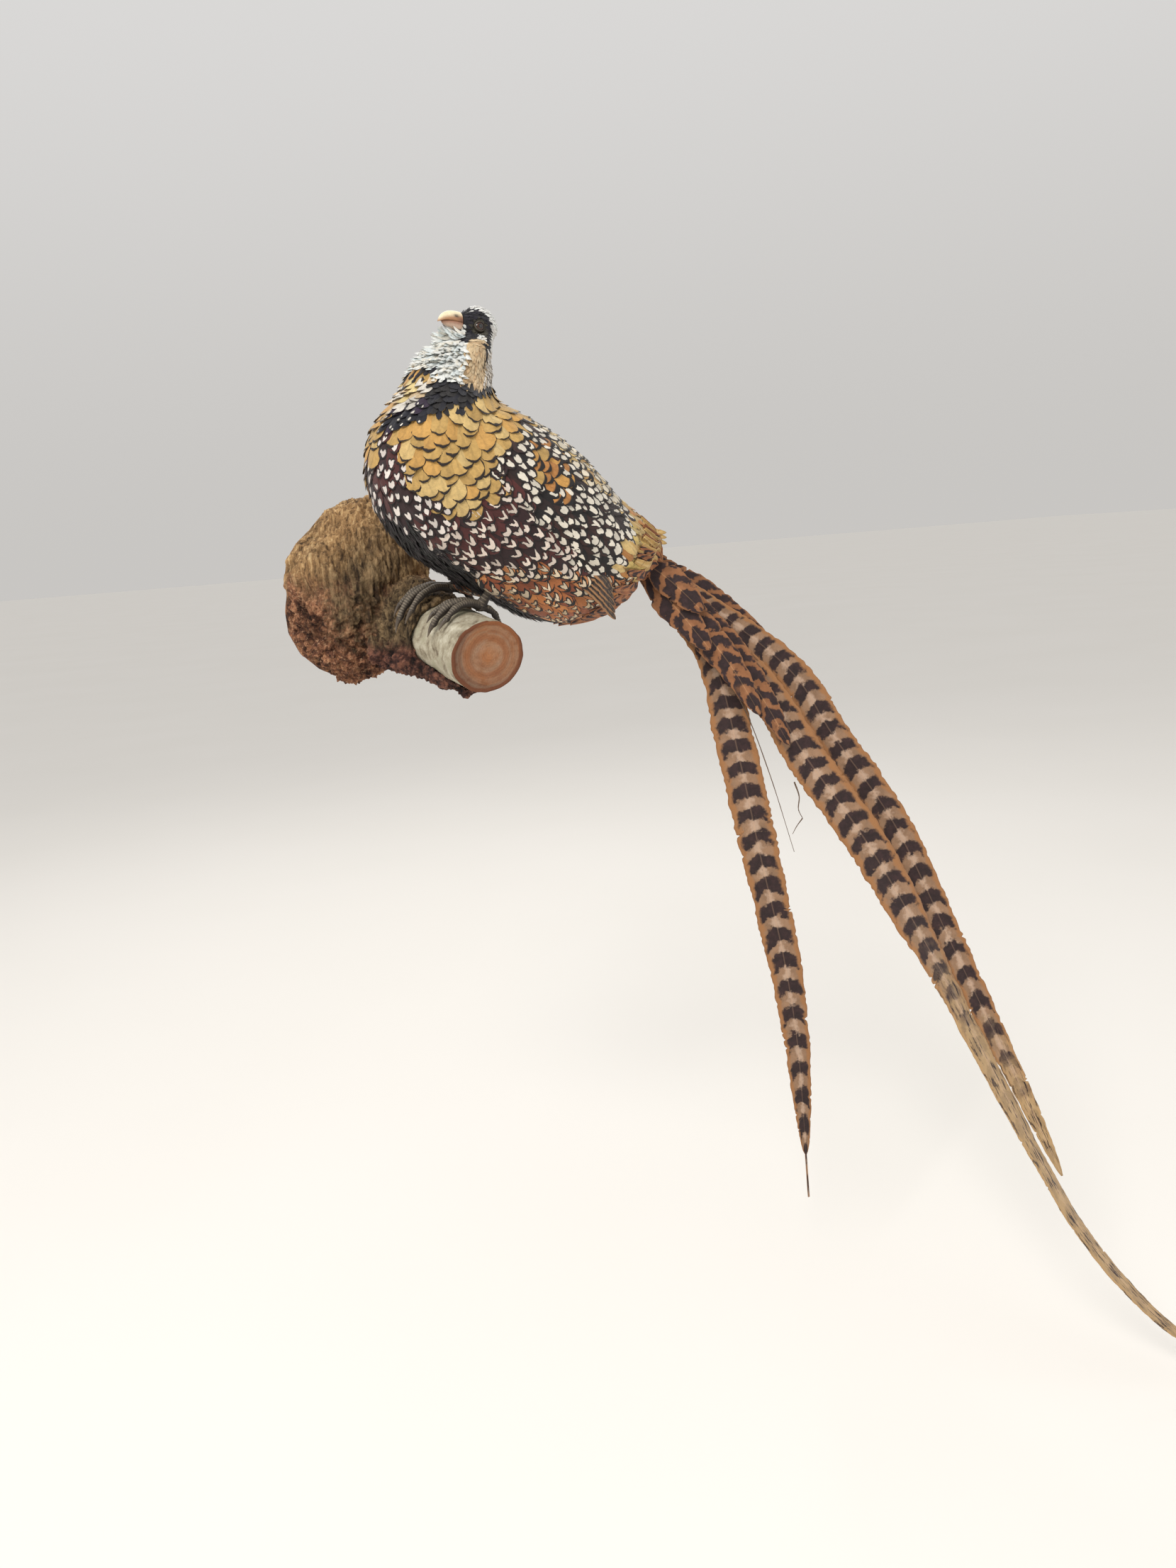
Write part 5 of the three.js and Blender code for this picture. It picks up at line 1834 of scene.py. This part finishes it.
@dataclass
class Eyes:
    """Glass eyes in lids that close over them to an oval opening."""

    opening: tuple[float, float] = (0.70, 0.58)
    outward: float = 0.16
    ball: tuple[int, int] = (40, 64)
    lid_places: int = 72
    folds: tuple[tuple[float, float], ...] = (
        (0.0, 0.03), (0.02, 0.11), (0.10, 0.16), (0.20, 0.12), (0.28, 0.05), (0.38, 0.09), (0.50, 0.02))
    hem: float = 1.55

    def build(self, skin: bpy.types.Object) -> None:
        """Builds both eyes and their lids.

        Args:
            skin: the skin that the lids grow out of.
        """
        glass = self.glass()
        lids = SkinFinish(1500, 0.00018, 0.6, 0.4, 0.35).make("lid")
        ahead, left, over = HEAD.axes()
        for side, hand in (("left", 1), ("right", -1)):
            low, high = (np.array(c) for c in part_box(f"eye_{side}"))
            middle, radius = (low + high) / 2, float((high - low).min() / 2)
            out = unit(left * hand + self.outward * ahead)
            fore = unit(ahead - out * ahead.dot(out))
            top = np.cross(fore, out)
            top *= np.sign(top.dot(over))
            steps, around = self.ball
            tilt = np.linspace(0.02, math.pi - 0.02, steps)
            turns = np.linspace(0, math.tau, around, endpoint=False)
            ball = np.cos(tilt)[:, None, None] * out + np.sin(tilt)[:, None, None] * (
                np.cos(turns)[:, None] * fore + np.sin(turns)[:, None] * top)
            made = tube(f"eye_{side}_glass", middle + ball * radius)
            store(made.data, "tilt", np.concatenate([np.repeat(tilt, around), [0, math.pi]]))
            dressed(made, glass, "glass_eye", f"eye_{side}")
            made = self.lid(side, middle, radius, np.stack([out, fore, top]), skin)
            dressed(made, lids, "head_feathers")

    def lid(self, side: str, middle: np.ndarray, radius: float, axes: np.ndarray,
            skin: bpy.types.Object) -> bpy.types.Object:
        """Builds one eye's lids: a closed ring from the eyeball's front out to the skin, with folds.

        Args:
            side: left or right.
            middle: the eyeball's middle.
            radius: its radius.
            axes: the way that it looks, forwards across it and upwards across it.
            skin: the skin that the ring meets.

        Returns:
            The lids.
        """
        out, fore, top = axes
        around = self.lid_places
        turns = np.linspace(0, math.tau, around, endpoint=False)
        cos, sin = np.cos(turns), np.sin(turns)
        shape = (np.abs(cos / self.opening[0]) ** 2 + np.abs(sin / self.opening[1]) ** 2) ** -0.5
        corner = 0.10 * np.exp(-((turns - math.pi) / 0.35) ** 2)
        corner += 0.06 * np.exp(-(np.minimum(turns, math.tau - turns) / 0.35) ** 2)
        tilt = np.arcsin(np.clip(shape + corner, 0, 0.95))
        radial = cos[:, None] * fore + sin[:, None] * top

        def ring(reach: Any, angle: np.ndarray) -> np.ndarray:
            """A ring about the eyeball, so many radii out, so far round from its front."""
            return middle + radius * reach * (np.cos(angle) * out + np.sin(angle) * radial)
        rows = []
        for spread, height in self.folds:
            fold = 0.012 * np.sin(turns * 23 + spread * 30)[:, None] * (spread > 0.05)
            rows.append(ring(1 + height + fold, np.minimum(tilt + spread * 1.5, 1.5)[:, None]))
        landed = []
        for point in middle + radius * self.hem * radial:
            _, place, normal, _ = skin.closest_point_on_mesh(Vector(point.tolist()))
            landed.append(np.array(place) + np.array(normal) * 0.0002)
        hem = np.array(landed)
        rows += [rows[-1] * 0.45 + hem * 0.55, hem, hem - out * 0.0016]
        rows += [ring(0.97, np.full((around, 1), 1.45)), ring(0.985, tilt[:, None] + 0.1)]
        points = np.concatenate(rows)
        faces = [[i % len(points) for i in face] for face in ring_faces(len(rows) + 1, around)]
        made = new_object(f"lid_{side}", points, faces)
        outward(made)
        tones = [rgb(30, 26, 26), rgb(30, 26, 26), rgb(84, 76, 64), rgb(62, 56, 46), rgb(46, 42, 36),
                 rgb(66, 60, 50), rgb(50, 46, 38), rgb(52, 48, 40)]
        tones += [rgb(44, 40, 34)] * (len(rows) - len(tones))
        store(made.data, "tone", np.repeat(np.array(tones), around, axis=0))
        return made

    @staticmethod
    def glass() -> bpy.types.Material:
        """Builds a glossy eye: a dark pupil in a brown iris.

        Returns:
            The material.
        """
        paint = Paint("eye_glass")
        tilt = paint.attribute("tilt", "Fac")
        streak = paint.noise(2600, 2)
        iris = paint.mix(streak, rgb(74, 42, 22), rgb(44, 24, 14))
        tone = paint.mix(tilt.step(0.44, 0.38), iris, rgb(6, 5, 5))
        tone = paint.mix(tilt.step(0.72, 0.86), tone, rgb(20, 12, 8))
        return paint.finish(tone, 0.1, None, coat_weight=0.5, coat_roughness=0.03, specular_ior_level=0.4)


# ------------------------------------------------------------------ log
@dataclass(frozen=True)
class BranchAxis:
    """The cut branch's axis, and places told round it."""

    root: tuple[float, float, float] = (30, -18, -28)
    cut: tuple[float, float, float] = (65, -228, -66)

    def frame(self) -> tuple[np.ndarray, np.ndarray, np.ndarray, float]:
        """Finds the branch's own directions.

        Returns:
            The way along, the way over it, the way ahead of it, and its length in mm.
        """
        way = np.array(self.cut, float) - np.array(self.root, float)
        length = float(np.linalg.norm(way))
        way /= length
        over = unit(UP - way * UP.dot(way))
        ahead = unit(np.cross(over, way))
        return way, over, ahead * (-1 if ahead[0] > 0 else 1), length

    def point(self, along: Any, angle: Any, radius: Any) -> np.ndarray:
        """A point so far along, turned forward from the top in degrees, at a radius; mm to metres.

        Args:
            along: mm from the root.
            angle: degrees.
            radius: mm from the axis.

        Returns:
            Places in metres.
        """
        way, over, ahead, _ = self.frame()
        along, angle, radius = np.broadcast_arrays(np.asarray(along, float), np.radians(angle), radius)
        return MM * (np.array(self.root) + along[..., None] * way + (np.cos(angle) * radius)[..., None] * over
                     + (np.sin(angle) * radius)[..., None] * ahead)


AXIS = BranchAxis()


@dataclass
class Log:
    """The burl, its knee and rib as one piece of old wood, and the sawn branch."""

    old: tuple[str, ...] = ("log_burl", "log_knee", "log_rib")
    grow: float = 0.0006
    passes: int = 12
    radius: float = 34.0
    bark: float = 2.6
    oval: float = 0.15
    around: int = 120
    rows: int = 130
    saw_rows: int = 14
    voxel: float = 0.00138
    pith: tuple[float, float, float] = (0.004, 0, 0.003)
    ring: float = 0.0024

    def build(self) -> None:
        """Builds both pieces."""
        self.old_wood()
        self.branch()

    def old_wood(self) -> None:
        """Builds the burl with its knee and rib, roughened by Geometry Nodes."""
        made = copied("old_wood", self.old, self.grow)
        remeshed(made, self.voxel, self.passes)
        nodes = made.modifiers.new("relief", "NODES")
        nodes.node_group = self.relief()
        applied(made)
        made.data.shade_smooth()
        dressed(made, self.wood(), "burl_wood", *self.old)

    @staticmethod
    def relief() -> bpy.types.NodeTree:
        """Builds the Geometry Nodes that push the wood in and out and remember by how much.

        Returns:
            The node tree.
        """
        sheet, given = geometry_tree("relief", {"Lumps": 0.010, "Fibre": 0.0056, "Crumbs": 0.0070,
                                                "Grit": 0.0034})
        crumbs = given["Crumbs"]
        place = sheet.out("GeometryNodeInputPosition")
        _, y, z = sheet.split(place)

        def noise(scale: float, at: Term = place, detail: float = 3) -> Term:
            """Noise about zero."""
            return sheet.out("ShaderNodeTexNoise", None,
                             {"Vector": at, "Scale": scale, "Detail": detail}) - 0.5

        def grains(scale: float) -> Term:
            """Rounded grains about zero."""
            return 0.45 - sheet.out("ShaderNodeTexVoronoi", None, {"Vector": place, "Scale": scale},
                                    "Distance")
        strands = sheet.vector("MULTIPLY", place, (1.0, 1.0, 0.16))
        crack = abs(noise(34, place, 2)) * -6 + 0.6
        low = (z + noise(22) * 0.05).step(0.012, -0.022)
        ridge = 0.35 - abs(noise(170, strands, 3)) * 3
        depth = noise(28, place, 2) * given["Lumps"] * 1.6
        depth = depth + (noise(240, strands, 4) + ridge * 0.35) * given["Fibre"] * (1.5 - low)
        depth = depth + grains(150) * crumbs * (low * 0.9 + 0.1) + noise(75, place, 4) * crumbs * (low + 0.4)
        depth = depth + grains(330) * crumbs * (low * 0.55 + 0.08)
        depth = depth + noise(520, place, 3) * given["Grit"] - crack.math("MAXIMUM", 0.0) * 0.004
        held = y.step(-0.001, -0.016) * (1 - y.step(-0.11, -0.13) * 0.45)
        offset = sheet.vector("SCALE", sheet.out("GeometryNodeInputNormal"), depth * held)
        moved = sheet.out("GeometryNodeSetPosition", None, {"Geometry": given["Geometry"], "Offset": offset})
        kept = sheet.out("GeometryNodeStoreNamedAttribute", {"data_type": "FLOAT", "domain": "POINT"},
                         {"Geometry": moved, "Name": "relief", "Value": depth * 200})
        sheet.node("NodeGroupOutput", None, {0: sheet.out(
            "GeometryNodeRealizeInstances", None, {"Geometry": kept})})
        return sheet.tree

    @staticmethod
    def wood() -> bpy.types.Material:
        """Builds old burl wood: tan and fibrous above, crumbling red-brown below, with painted shade
        darkening its hollows.

        Returns:
            The material.
        """
        paint = Paint("burl_wood")
        _, y, z = paint.split(paint.place)
        broad, mid, fine = paint.noise(16, 3), paint.noise(110, 5, 0.65), paint.noise(420, 4)
        strands = paint.noise(230, 5, 0.65, at=paint.vector("MULTIPLY", paint.place, (1, 1, 0.14)))
        chips = paint.noise(330, 3, 0.6)
        low = (z + (broad - 0.5) * 0.09).step(0.020, -0.012)
        tan = paint.ramp(strands, [(0.34, rgb(70, 54, 38)), (0.48, rgb(146, 114, 78)),
                                   (0.56, rgb(172, 138, 96)), (0.68, rgb(210, 180, 134))])
        drab = paint.mix(strands.step(0.4, 0.6), rgb(84, 68, 48), rgb(140, 116, 84))
        tan = paint.mix(broad.step(0.45, 0.7) * 0.55, tan, drab)
        red = paint.ramp(mid, [(0.34, rgb(52, 34, 28)), (0.47, rgb(112, 74, 56)), (0.55, rgb(150, 104, 76)),
                               (0.68, rgb(182, 136, 102))])
        red = paint.mix(chips.step(0.56, 0.64) * 0.6, red, rgb(196, 156, 122))
        red = paint.mix(chips.step(0.42, 0.35) * 0.7, red, rgb(44, 28, 24))
        olive = paint.mix(strands.step(0.36, 0.64), rgb(58, 46, 34), rgb(134, 112, 82))
        dark = paint.ramp(mid, [(0.38, rgb(30, 22, 22)), (0.5, rgb(72, 46, 40)), (0.62, rgb(122, 82, 66))])
        dark = paint.mix(chips.step(0.58, 0.68) * 0.5, dark, rgb(150, 112, 92))
        tone = paint.mix(low, tan, red)
        tone = paint.mix((y + (mid - 0.5) * 0.03).step(-0.066, -0.094), tone, olive)
        front = (y + z * 0.4 + (mid - 0.5) * 0.02).step(-0.108, -0.124)
        tone = paint.mix(front * (z + 0.045).step(0.0, -0.018), tone, dark)
        # How far the wood was pushed in darkens it: painted shade in its hollows and cracks.
        relief = paint.attribute("relief", "Fac")
        tone = paint.shade(tone, 0.36 + 0.76 * relief.step(-1.5, 0.5) + (fine - 0.5) * 0.7)
        bumps = paint.bump(fine + strands + chips + paint.noise(1400, 3) * 0.5, 0.0014, 0.9)
        return paint.finish(tone, 0.86 + (fine - 0.5) * 0.2, bumps, specular_ior_level=0.22)

    def branch(self) -> None:
        """Builds the branch: bark round a sawn end."""
        length, around = AXIS.frame()[3], self.around
        turns = np.linspace(0, 360, around, endpoint=False)
        beside = AXIS.point(length, turns, self.radius) - AXIS.point(length, turns + 180, self.radius)
        widened = 0.97 + self.oval * (unit(beside) @ np.array(Studio.right)) ** 2
        rows = []
        for along in np.linspace(0, length, self.rows):
            t = along / length
            radius = self.radius + 1 - t + 0.6 * math.sin(7 * t + 1)
            bumps = 0.45 * wobble(turns / 9 + 3 * math.sin(along / 30), 1)
            bumps += 0.35 * wobble(np.full(around, along / 7) + turns / 40, 2)
            from_knot = (turns - 40 + 180) % 360 - 180
            bumps += 2.2 * np.exp(-((along - 0.9 * length) / 7) ** 2 - (from_knot / 14) ** 2)
            sunk = 0.68 + 0.32 * smooth(0.22, 0.42, t)
            oval = 1 + (widened - 1) * smooth(0.8, 1.0, t)
            rows.append(AXIS.point(along, turns, radius * sunk * oval + bumps))
        ring = 0.45 * wobble(turns / 9 + 3 * math.sin(length / 30), 1)
        face = self.radius - self.bark
        for radius, out in ((self.radius - 0.5, 0.25), (face, 0.1), (face - 0.5, -0.5)):
            rows.append(AXIS.point(length + out, turns, radius * widened + ring))
        for share in np.linspace(0.92, 0.06, self.saw_rows):
            saw = 0.12 * wobble(share * 14 + turns / 400, 4)
            rows.append(AXIS.point(length - 0.5 + saw, turns, face * share * widened))
        dressed(tube("sawn_branch", np.array(rows)), self.timber(), "branch_wood", "log_branch")

    def timber(self) -> bpy.types.Material:
        """Builds grey bark with lichen, and an orange-brown sawn end with year rings.

        Returns:
            The material.
        """
        way = AXIS.frame()[0].tolist()
        paint = Paint("branch_wood")
        cut = np.array(AXIS.cut) * MM
        from_pith = paint.vector("SUBTRACT", paint.place, (cut + self.pith).tolist())
        radius = paint.vector("LENGTH", paint.vector("CROSS_PRODUCT", from_pith, way), name="Value")
        from_cut = paint.vector("SUBTRACT", paint.place, cut.tolist())
        depth = paint.vector("DOT_PRODUCT", from_cut, way, name="Value")
        warp = paint.noise(22, 3) - 0.5
        fine = paint.noise(500, 4)
        rings = ((radius + warp * 0.006) * (math.tau / self.ring)).math("SINE")
        slow = ((radius + warp * 0.008) * (math.tau / 0.0075)).math("SINE")
        from_heart = radius + warp * 0.004
        wood = paint.mix(rings * 0.10 + slow * 0.12 + paint.noise(120, 4) * 0.8 + 0.1,
                         rgb(128, 78, 48), rgb(158, 102, 64))
        wood = paint.mix(from_heart.step(0.003, 0.017), paint.mix(0.4, wood, rgb(182, 120, 74)), wood)
        wood = paint.mix(paint.noise(60, 3).step(0.5, 0.75) * 0.5, wood, rgb(126, 72, 48))
        wood = paint.mix(from_heart.step(0.0285, 0.0315) * 0.7, wood, rgb(92, 54, 40))
        bark = paint.ramp(paint.noise(90, 5, 0.65), [(0.34, rgb(118, 106, 88)), (0.45, rgb(164, 154, 132)),
                                                     (0.56, rgb(186, 178, 156)), (0.68, rgb(212, 206, 186))])
        bark = paint.mix(paint.noise(45, 4).step(0.52, 0.7) * 0.6, bark, rgb(132, 128, 96))
        bark = paint.mix(paint.cells(160).step(0.12, 0.04) * 0.5, bark, rgb(232, 224, 200))
        bark = paint.mix((depth + warp * 0.02).step(-0.096, -0.112), bark,
                         paint.mix(paint.noise(110, 4), rgb(44, 32, 28), rgb(126, 92, 68)))
        sawn = depth.step(-0.0012, -0.0003)
        tone = paint.shade(paint.mix(sawn, bark, wood), 0.9 + (fine - 0.5) * 0.4)
        bumps = paint.bump(rings * 0.12 * sawn + fine + paint.noise(150, 4) * 1.2, 0.0008, 0.6)
        return paint.finish(tone, 0.78 + (fine - 0.5) * 0.2, bumps, specular_ior_level=0.25)


# ------------------------------------------------------------------ feet
Grip = Callable[[np.ndarray, np.ndarray], tuple[np.ndarray, np.ndarray]]


@dataclass
class Feet:
    """Scaled toes and shanks, and claws, gripping the branch."""

    feet: dict[str, tuple] = field(default_factory=lambda: {
        "left": (0.79, -24, 35.4, (20, 27, -60)), "right": (0.54, -14, 42, (20, -27, -60))})
    toes: dict[str, tuple] = field(default_factory=lambda: {
        "outer": (66, 14, 4.3), "middle": (80, 0, 4.8), "inner": (64, -14, 4.3), "hind": (-36, 3, 3.9)})
    claw_reach: float = 15
    arch: float = 2.6
    shank: float = 4.6
    sole: float = 6.5
    toe_grid: tuple[int, int] = (110, 22)
    claw_grid: tuple[int, int] = (40, 14)
    shank_grid: tuple[int, int] = (120, 24)
    toe_scute: float = 2.5
    shank_scute: float = 3.2

    def build(self) -> None:
        """Builds both feet."""
        scales = SkinFinish(900, 0.0002, 0.6, 0.45, 0.35).make("scales")
        horn = SkinFinish(1100, 0.0001, 0.4, 0.35, 0.5).make("claw_horn")
        for side, (share, turn, girth, hip) in self.feet.items():
            base = AXIS.frame()[3] * share
            for digit, (reach, splay, thick) in self.toes.items():
                line = partial(self.over_wood, base, turn, girth, reach, splay)
                self.toe(f"toe_{side}_{digit}", line, thick, scales)
                self.claw(f"claw_{side}_{digit}", line, reach, thick, horn)
            self.tarsus(side, base, turn, girth, hip, scales)

    @staticmethod
    def over_wood(base: float, turn: float, girth: float, reach: float, splay: float, t: np.ndarray,
                  lift: np.ndarray) -> tuple[np.ndarray, np.ndarray]:
        """A toe's line and the way up from the wood along it.

        Args:
            base: where the foot stands along the branch, mm.
            turn: where it stands round the branch, degrees.
            girth: the branch's radius, mm.
            reach: how far round the toe goes, degrees.
            splay: how far along it goes, mm.
            t: shares of the toe.
            lift: how far the line is above the wood there, mm.

        Returns:
            The line's points and the ways up.
        """
        along = base + splay * np.minimum(1, t) ** 0.8
        middle = AXIS.point(along, turn + reach * t, girth + lift)
        return middle, unit(middle - AXIS.point(along, turn + reach * t, 0.0))

    @staticmethod
    def scuted(middle: np.ndarray, t: np.ndarray, apart: float,
               turns: np.ndarray) -> tuple[np.ndarray, np.ndarray]:
        """Each row's share of its scute, and how far each place of a ring is on the upper side.

        Args:
            middle: the points of the line that the scutes follow.
            t: their shares of it.
            apart: the scutes' spacing, mm.
            turns: the places' angles from the top.

        Returns:
            The two shares.
        """
        phase = t * (float(np.linalg.norm(np.diff(middle, axis=0), axis=1).sum()) / MM) / apart
        return phase - np.floor(phase), np.clip(np.cos(turns), 0, 1) ** 0.5

    def toe(self, name: str, line: Grip, thick: float, finish: bpy.types.Material) -> None:
        """Builds a toe with a row of scutes above and pads below.

        Args:
            name: its node.
            line: its line by shares and lifts.
            thick: its half width, mm.
            finish: its material.
        """
        steps, around = self.toe_grid
        t = np.linspace(0.0, 1, steps)
        middle, up = line(t, thick + 0.6 + self.arch * np.sin(math.pi * t))
        turns = np.linspace(0, math.tau, around, endpoint=False)
        scute, above = self.scuted(middle, t, self.toe_scute, turns)
        knuckle = 0.32 * np.cos(math.tau * t * 3)[:, None]
        pad = 0.5 * np.abs(np.sin(math.pi * t * 3.5))[:, None] * np.clip(-np.cos(turns), 0, 1)
        size = (thick * (1 - 0.3 * t))[:, None] + knuckle + scute[:, None] * above * 0.34 + pad - 0.3
        size *= np.sqrt(np.clip(1 - (np.maximum(0, t - 0.9) / 0.115) ** 2, 0.05, 1))[:, None]
        made = tube(f"{name}_scales", round_line(middle, up, size * MM, size * 0.94 * MM, around))
        self.paint(made, scute, above)
        dressed(made, finish, "leg_scales", name)

    @staticmethod
    def paint(made: bpy.types.Object, scute: np.ndarray, above: np.ndarray) -> None:
        """Colours scales: dark, paler on the upper side as a painted highlight, with paler edges where one
        scute ends there.
        """
        # The upper side is painted paler as a painted highlight. The scute ends on it are paler still, partly
        # the scutes' own rims and partly painted highlight.
        pale = 0.22 * smooth(0.3, 1, above) + 0.65 * smooth(0.6, 0.98, scute)[:, None] * above
        tone = blend(rgb(46, 40, 36), rgb(150, 138, 120), np.concatenate([pale.ravel(), [0, 0]]))
        store(made.data, "tone", tone)

    def claw(self, name: str, line: Grip, reach: float, thick: float, finish: bpy.types.Material) -> None:
        """Builds a claw, deep and narrow, bent down to its point.

        Args:
            name: its node.
            line: its toe's line by shares and lifts.
            reach: how far round its toe goes, degrees.
            thick: its toe's half width, mm.
            finish: its material.
        """
        steps, around = self.claw_grid
        t = np.linspace(0.94, 1 + self.claw_reach / abs(reach), steps)
        middle, up = line(t, thick + 1.4 - 3 * np.maximum(0, t - 1.06))
        s = np.linspace(0, 1, steps)[:, None]
        size = (thick * 0.68 * (1 - s) + 0.35 * s) * np.minimum(1, 0.55 + 4 * s)
        made = tube(f"{name}_horn", round_line(middle, up, size * MM, size * 0.72 * MM, around))
        share = np.concatenate([np.repeat(s[:, 0], around), [0, 1]])
        tone = blend(rgb(58, 50, 44), rgb(104, 92, 80), share)
        store(made.data, "tone", tone)
        dressed(made, finish, "claw_horn", name)

    def tarsus(self, side: str, base: float, turn: float, girth: float, hip: Sequence[float],
               finish: bpy.types.Material) -> None:
        """Builds a shank with scutes down its front.

        Args:
            side: left or right.
            base: where the foot stands along the branch, mm.
            turn: where it stands round the branch, degrees.
            girth: the branch's radius, mm.
            hip: where the leg comes from, by the body's axes, mm.
            finish: its material.
        """
        steps, around = self.shank_grid
        sole = AXIS.point(base, turn, girth + self.sole)
        ankle = BODY.point(hip[0] - 6, hip[1] * 0.8, hip[2] - 2)
        middle = spline([sole - UP * (self.sole - 1.5) * MM, sole - UP * MM, sole * 0.7 + ankle * 0.3,
                         sole * 0.35 + ankle * 0.65, ankle], steps)
        t = np.linspace(0, 1, steps)
        size = np.interp(t, [0, 0.12, 0.35, 0.65, 1],
                         [self.sole * 0.8, self.sole, self.shank, self.shank, self.shank + 0.6])
        turns = np.linspace(0, math.tau, around, endpoint=False)
        scute, above = self.scuted(middle, t, self.shank_scute, turns)
        size = size[:, None] * 0.95 + scute[:, None] * above * 0.4 - 0.1
        rings = round_line(middle, level(BODY.turn), size * MM, size * 0.85 * MM, around)
        made = tube(f"tarsus_{side}_scales", rings)
        self.paint(made, scute, above)
        dressed(made, finish, "leg_scales", f"tarsus_{side}")


# ------------------------------------------------------------------ camera and stage
@dataclass(frozen=True)
class Studio:
    """The camera, floor and soft lights."""

    eye: tuple[float, float, float] = (-0.2658, -1.27, 0.0352)
    ahead: tuple[float, float, float] = (0.3667, 0.9076, -0.2045)
    right: tuple[float, float, float] = (0.9187, -0.3878, -0.0734)
    sensor: float = 36
    lens: float = sensor * 1661 / 2212
    floor: float = -0.86
    lit: tuple[float, float, float] = (0.2, -0.15, -0.05)
    lamps: tuple[tuple, ...] = (
        ("key", (-1.5, -1.9, 1.9), 1.3, 62, (1.0, 0.97, 0.93)),
        ("fill", (1.9, -2.1, 0.5), 2.2, 12, (0.97, 0.98, 1.0)),
        ("rim", (0.6, 1.9, 1.8), 1.6, 22, (1.0, 0.98, 0.95)))

    def build(self) -> None:
        """Builds the camera, the floor and the lights."""
        ahead = unit(np.array(self.ahead))
        right = np.array(self.right)
        right = unit(right - ahead * right.dot(ahead))
        camera = linked("camera", bpy.data.cameras.new("camera"))
        camera.data.lens, camera.data.sensor_width, camera.data.clip_start = self.lens, self.sensor, 0.02
        turn = Matrix(np.stack([right, np.cross(right, ahead), -ahead], 1).tolist()).to_4x4()
        camera.matrix_world = Matrix.Translation(self.eye) @ turn
        bpy.context.scene.camera = camera
        corners = [(-60, -60), (60, -60), (60, 60), (-60, 60)]
        floor = new_object("floor", np.array([(x, y, self.floor) for x, y in corners]), [(0, 1, 2, 3)])
        paint = Paint("floor")
        floor.data.materials.append(paint.finish(
            paint.mix(paint.noise(1.5, 2), rgb(236, 233, 227), rgb(240, 237, 232)), 0.9))
        world = bpy.data.worlds.new("studio")
        world.use_nodes = True
        sheet = Sheet(world.node_tree)
        above = sheet.split(sheet.out("ShaderNodeTexCoord"))[2]
        glow = sheet.out("ShaderNodeMix", {"data_type": "RGBA"}, {
            0: above.step(0.0, 0.5), 6: (0.58, 0.565, 0.545, 1), 7: (0.72, 0.71, 0.70, 1)}, "Result")
        sheet.tree.links.new(glow.socket, sheet.tree.nodes["Background"].inputs["Color"])
        bpy.context.scene.world = world
        bpy.context.scene.view_settings.view_transform = "Standard"
        for name, place, size, power, colour in self.lamps:
            lamp = bpy.data.lights.new(name, "AREA")
            lamp.energy, lamp.size, lamp.color = power, size, colour
            aim = Vector(self.lit) - Vector(place)
            turn = aim.to_track_quat("-Z", "Y").to_matrix().to_4x4()
            linked(name, lamp).matrix_world = Matrix.Translation(place) @ turn


def main() -> None:
    """Builds every piece in order."""
    logging.basicConfig(level=logging.INFO, format="%(message)s", stream=sys.stdout)
    Studio().build()
    skin = Skin()
    skin.build()
    eyes = [np.mean([np.array(c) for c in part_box(f"eye_{side}")], axis=0) for side in ("left", "right")]
    Coat(skin).build(eyes)
    Bill().build()
    Eyes().build(skin.piece)
    Feet().build()
    WingTips().build()
    Tail().build()
    Coverts().build()
    Log().build()


if __name__ == "__main__":
    main()
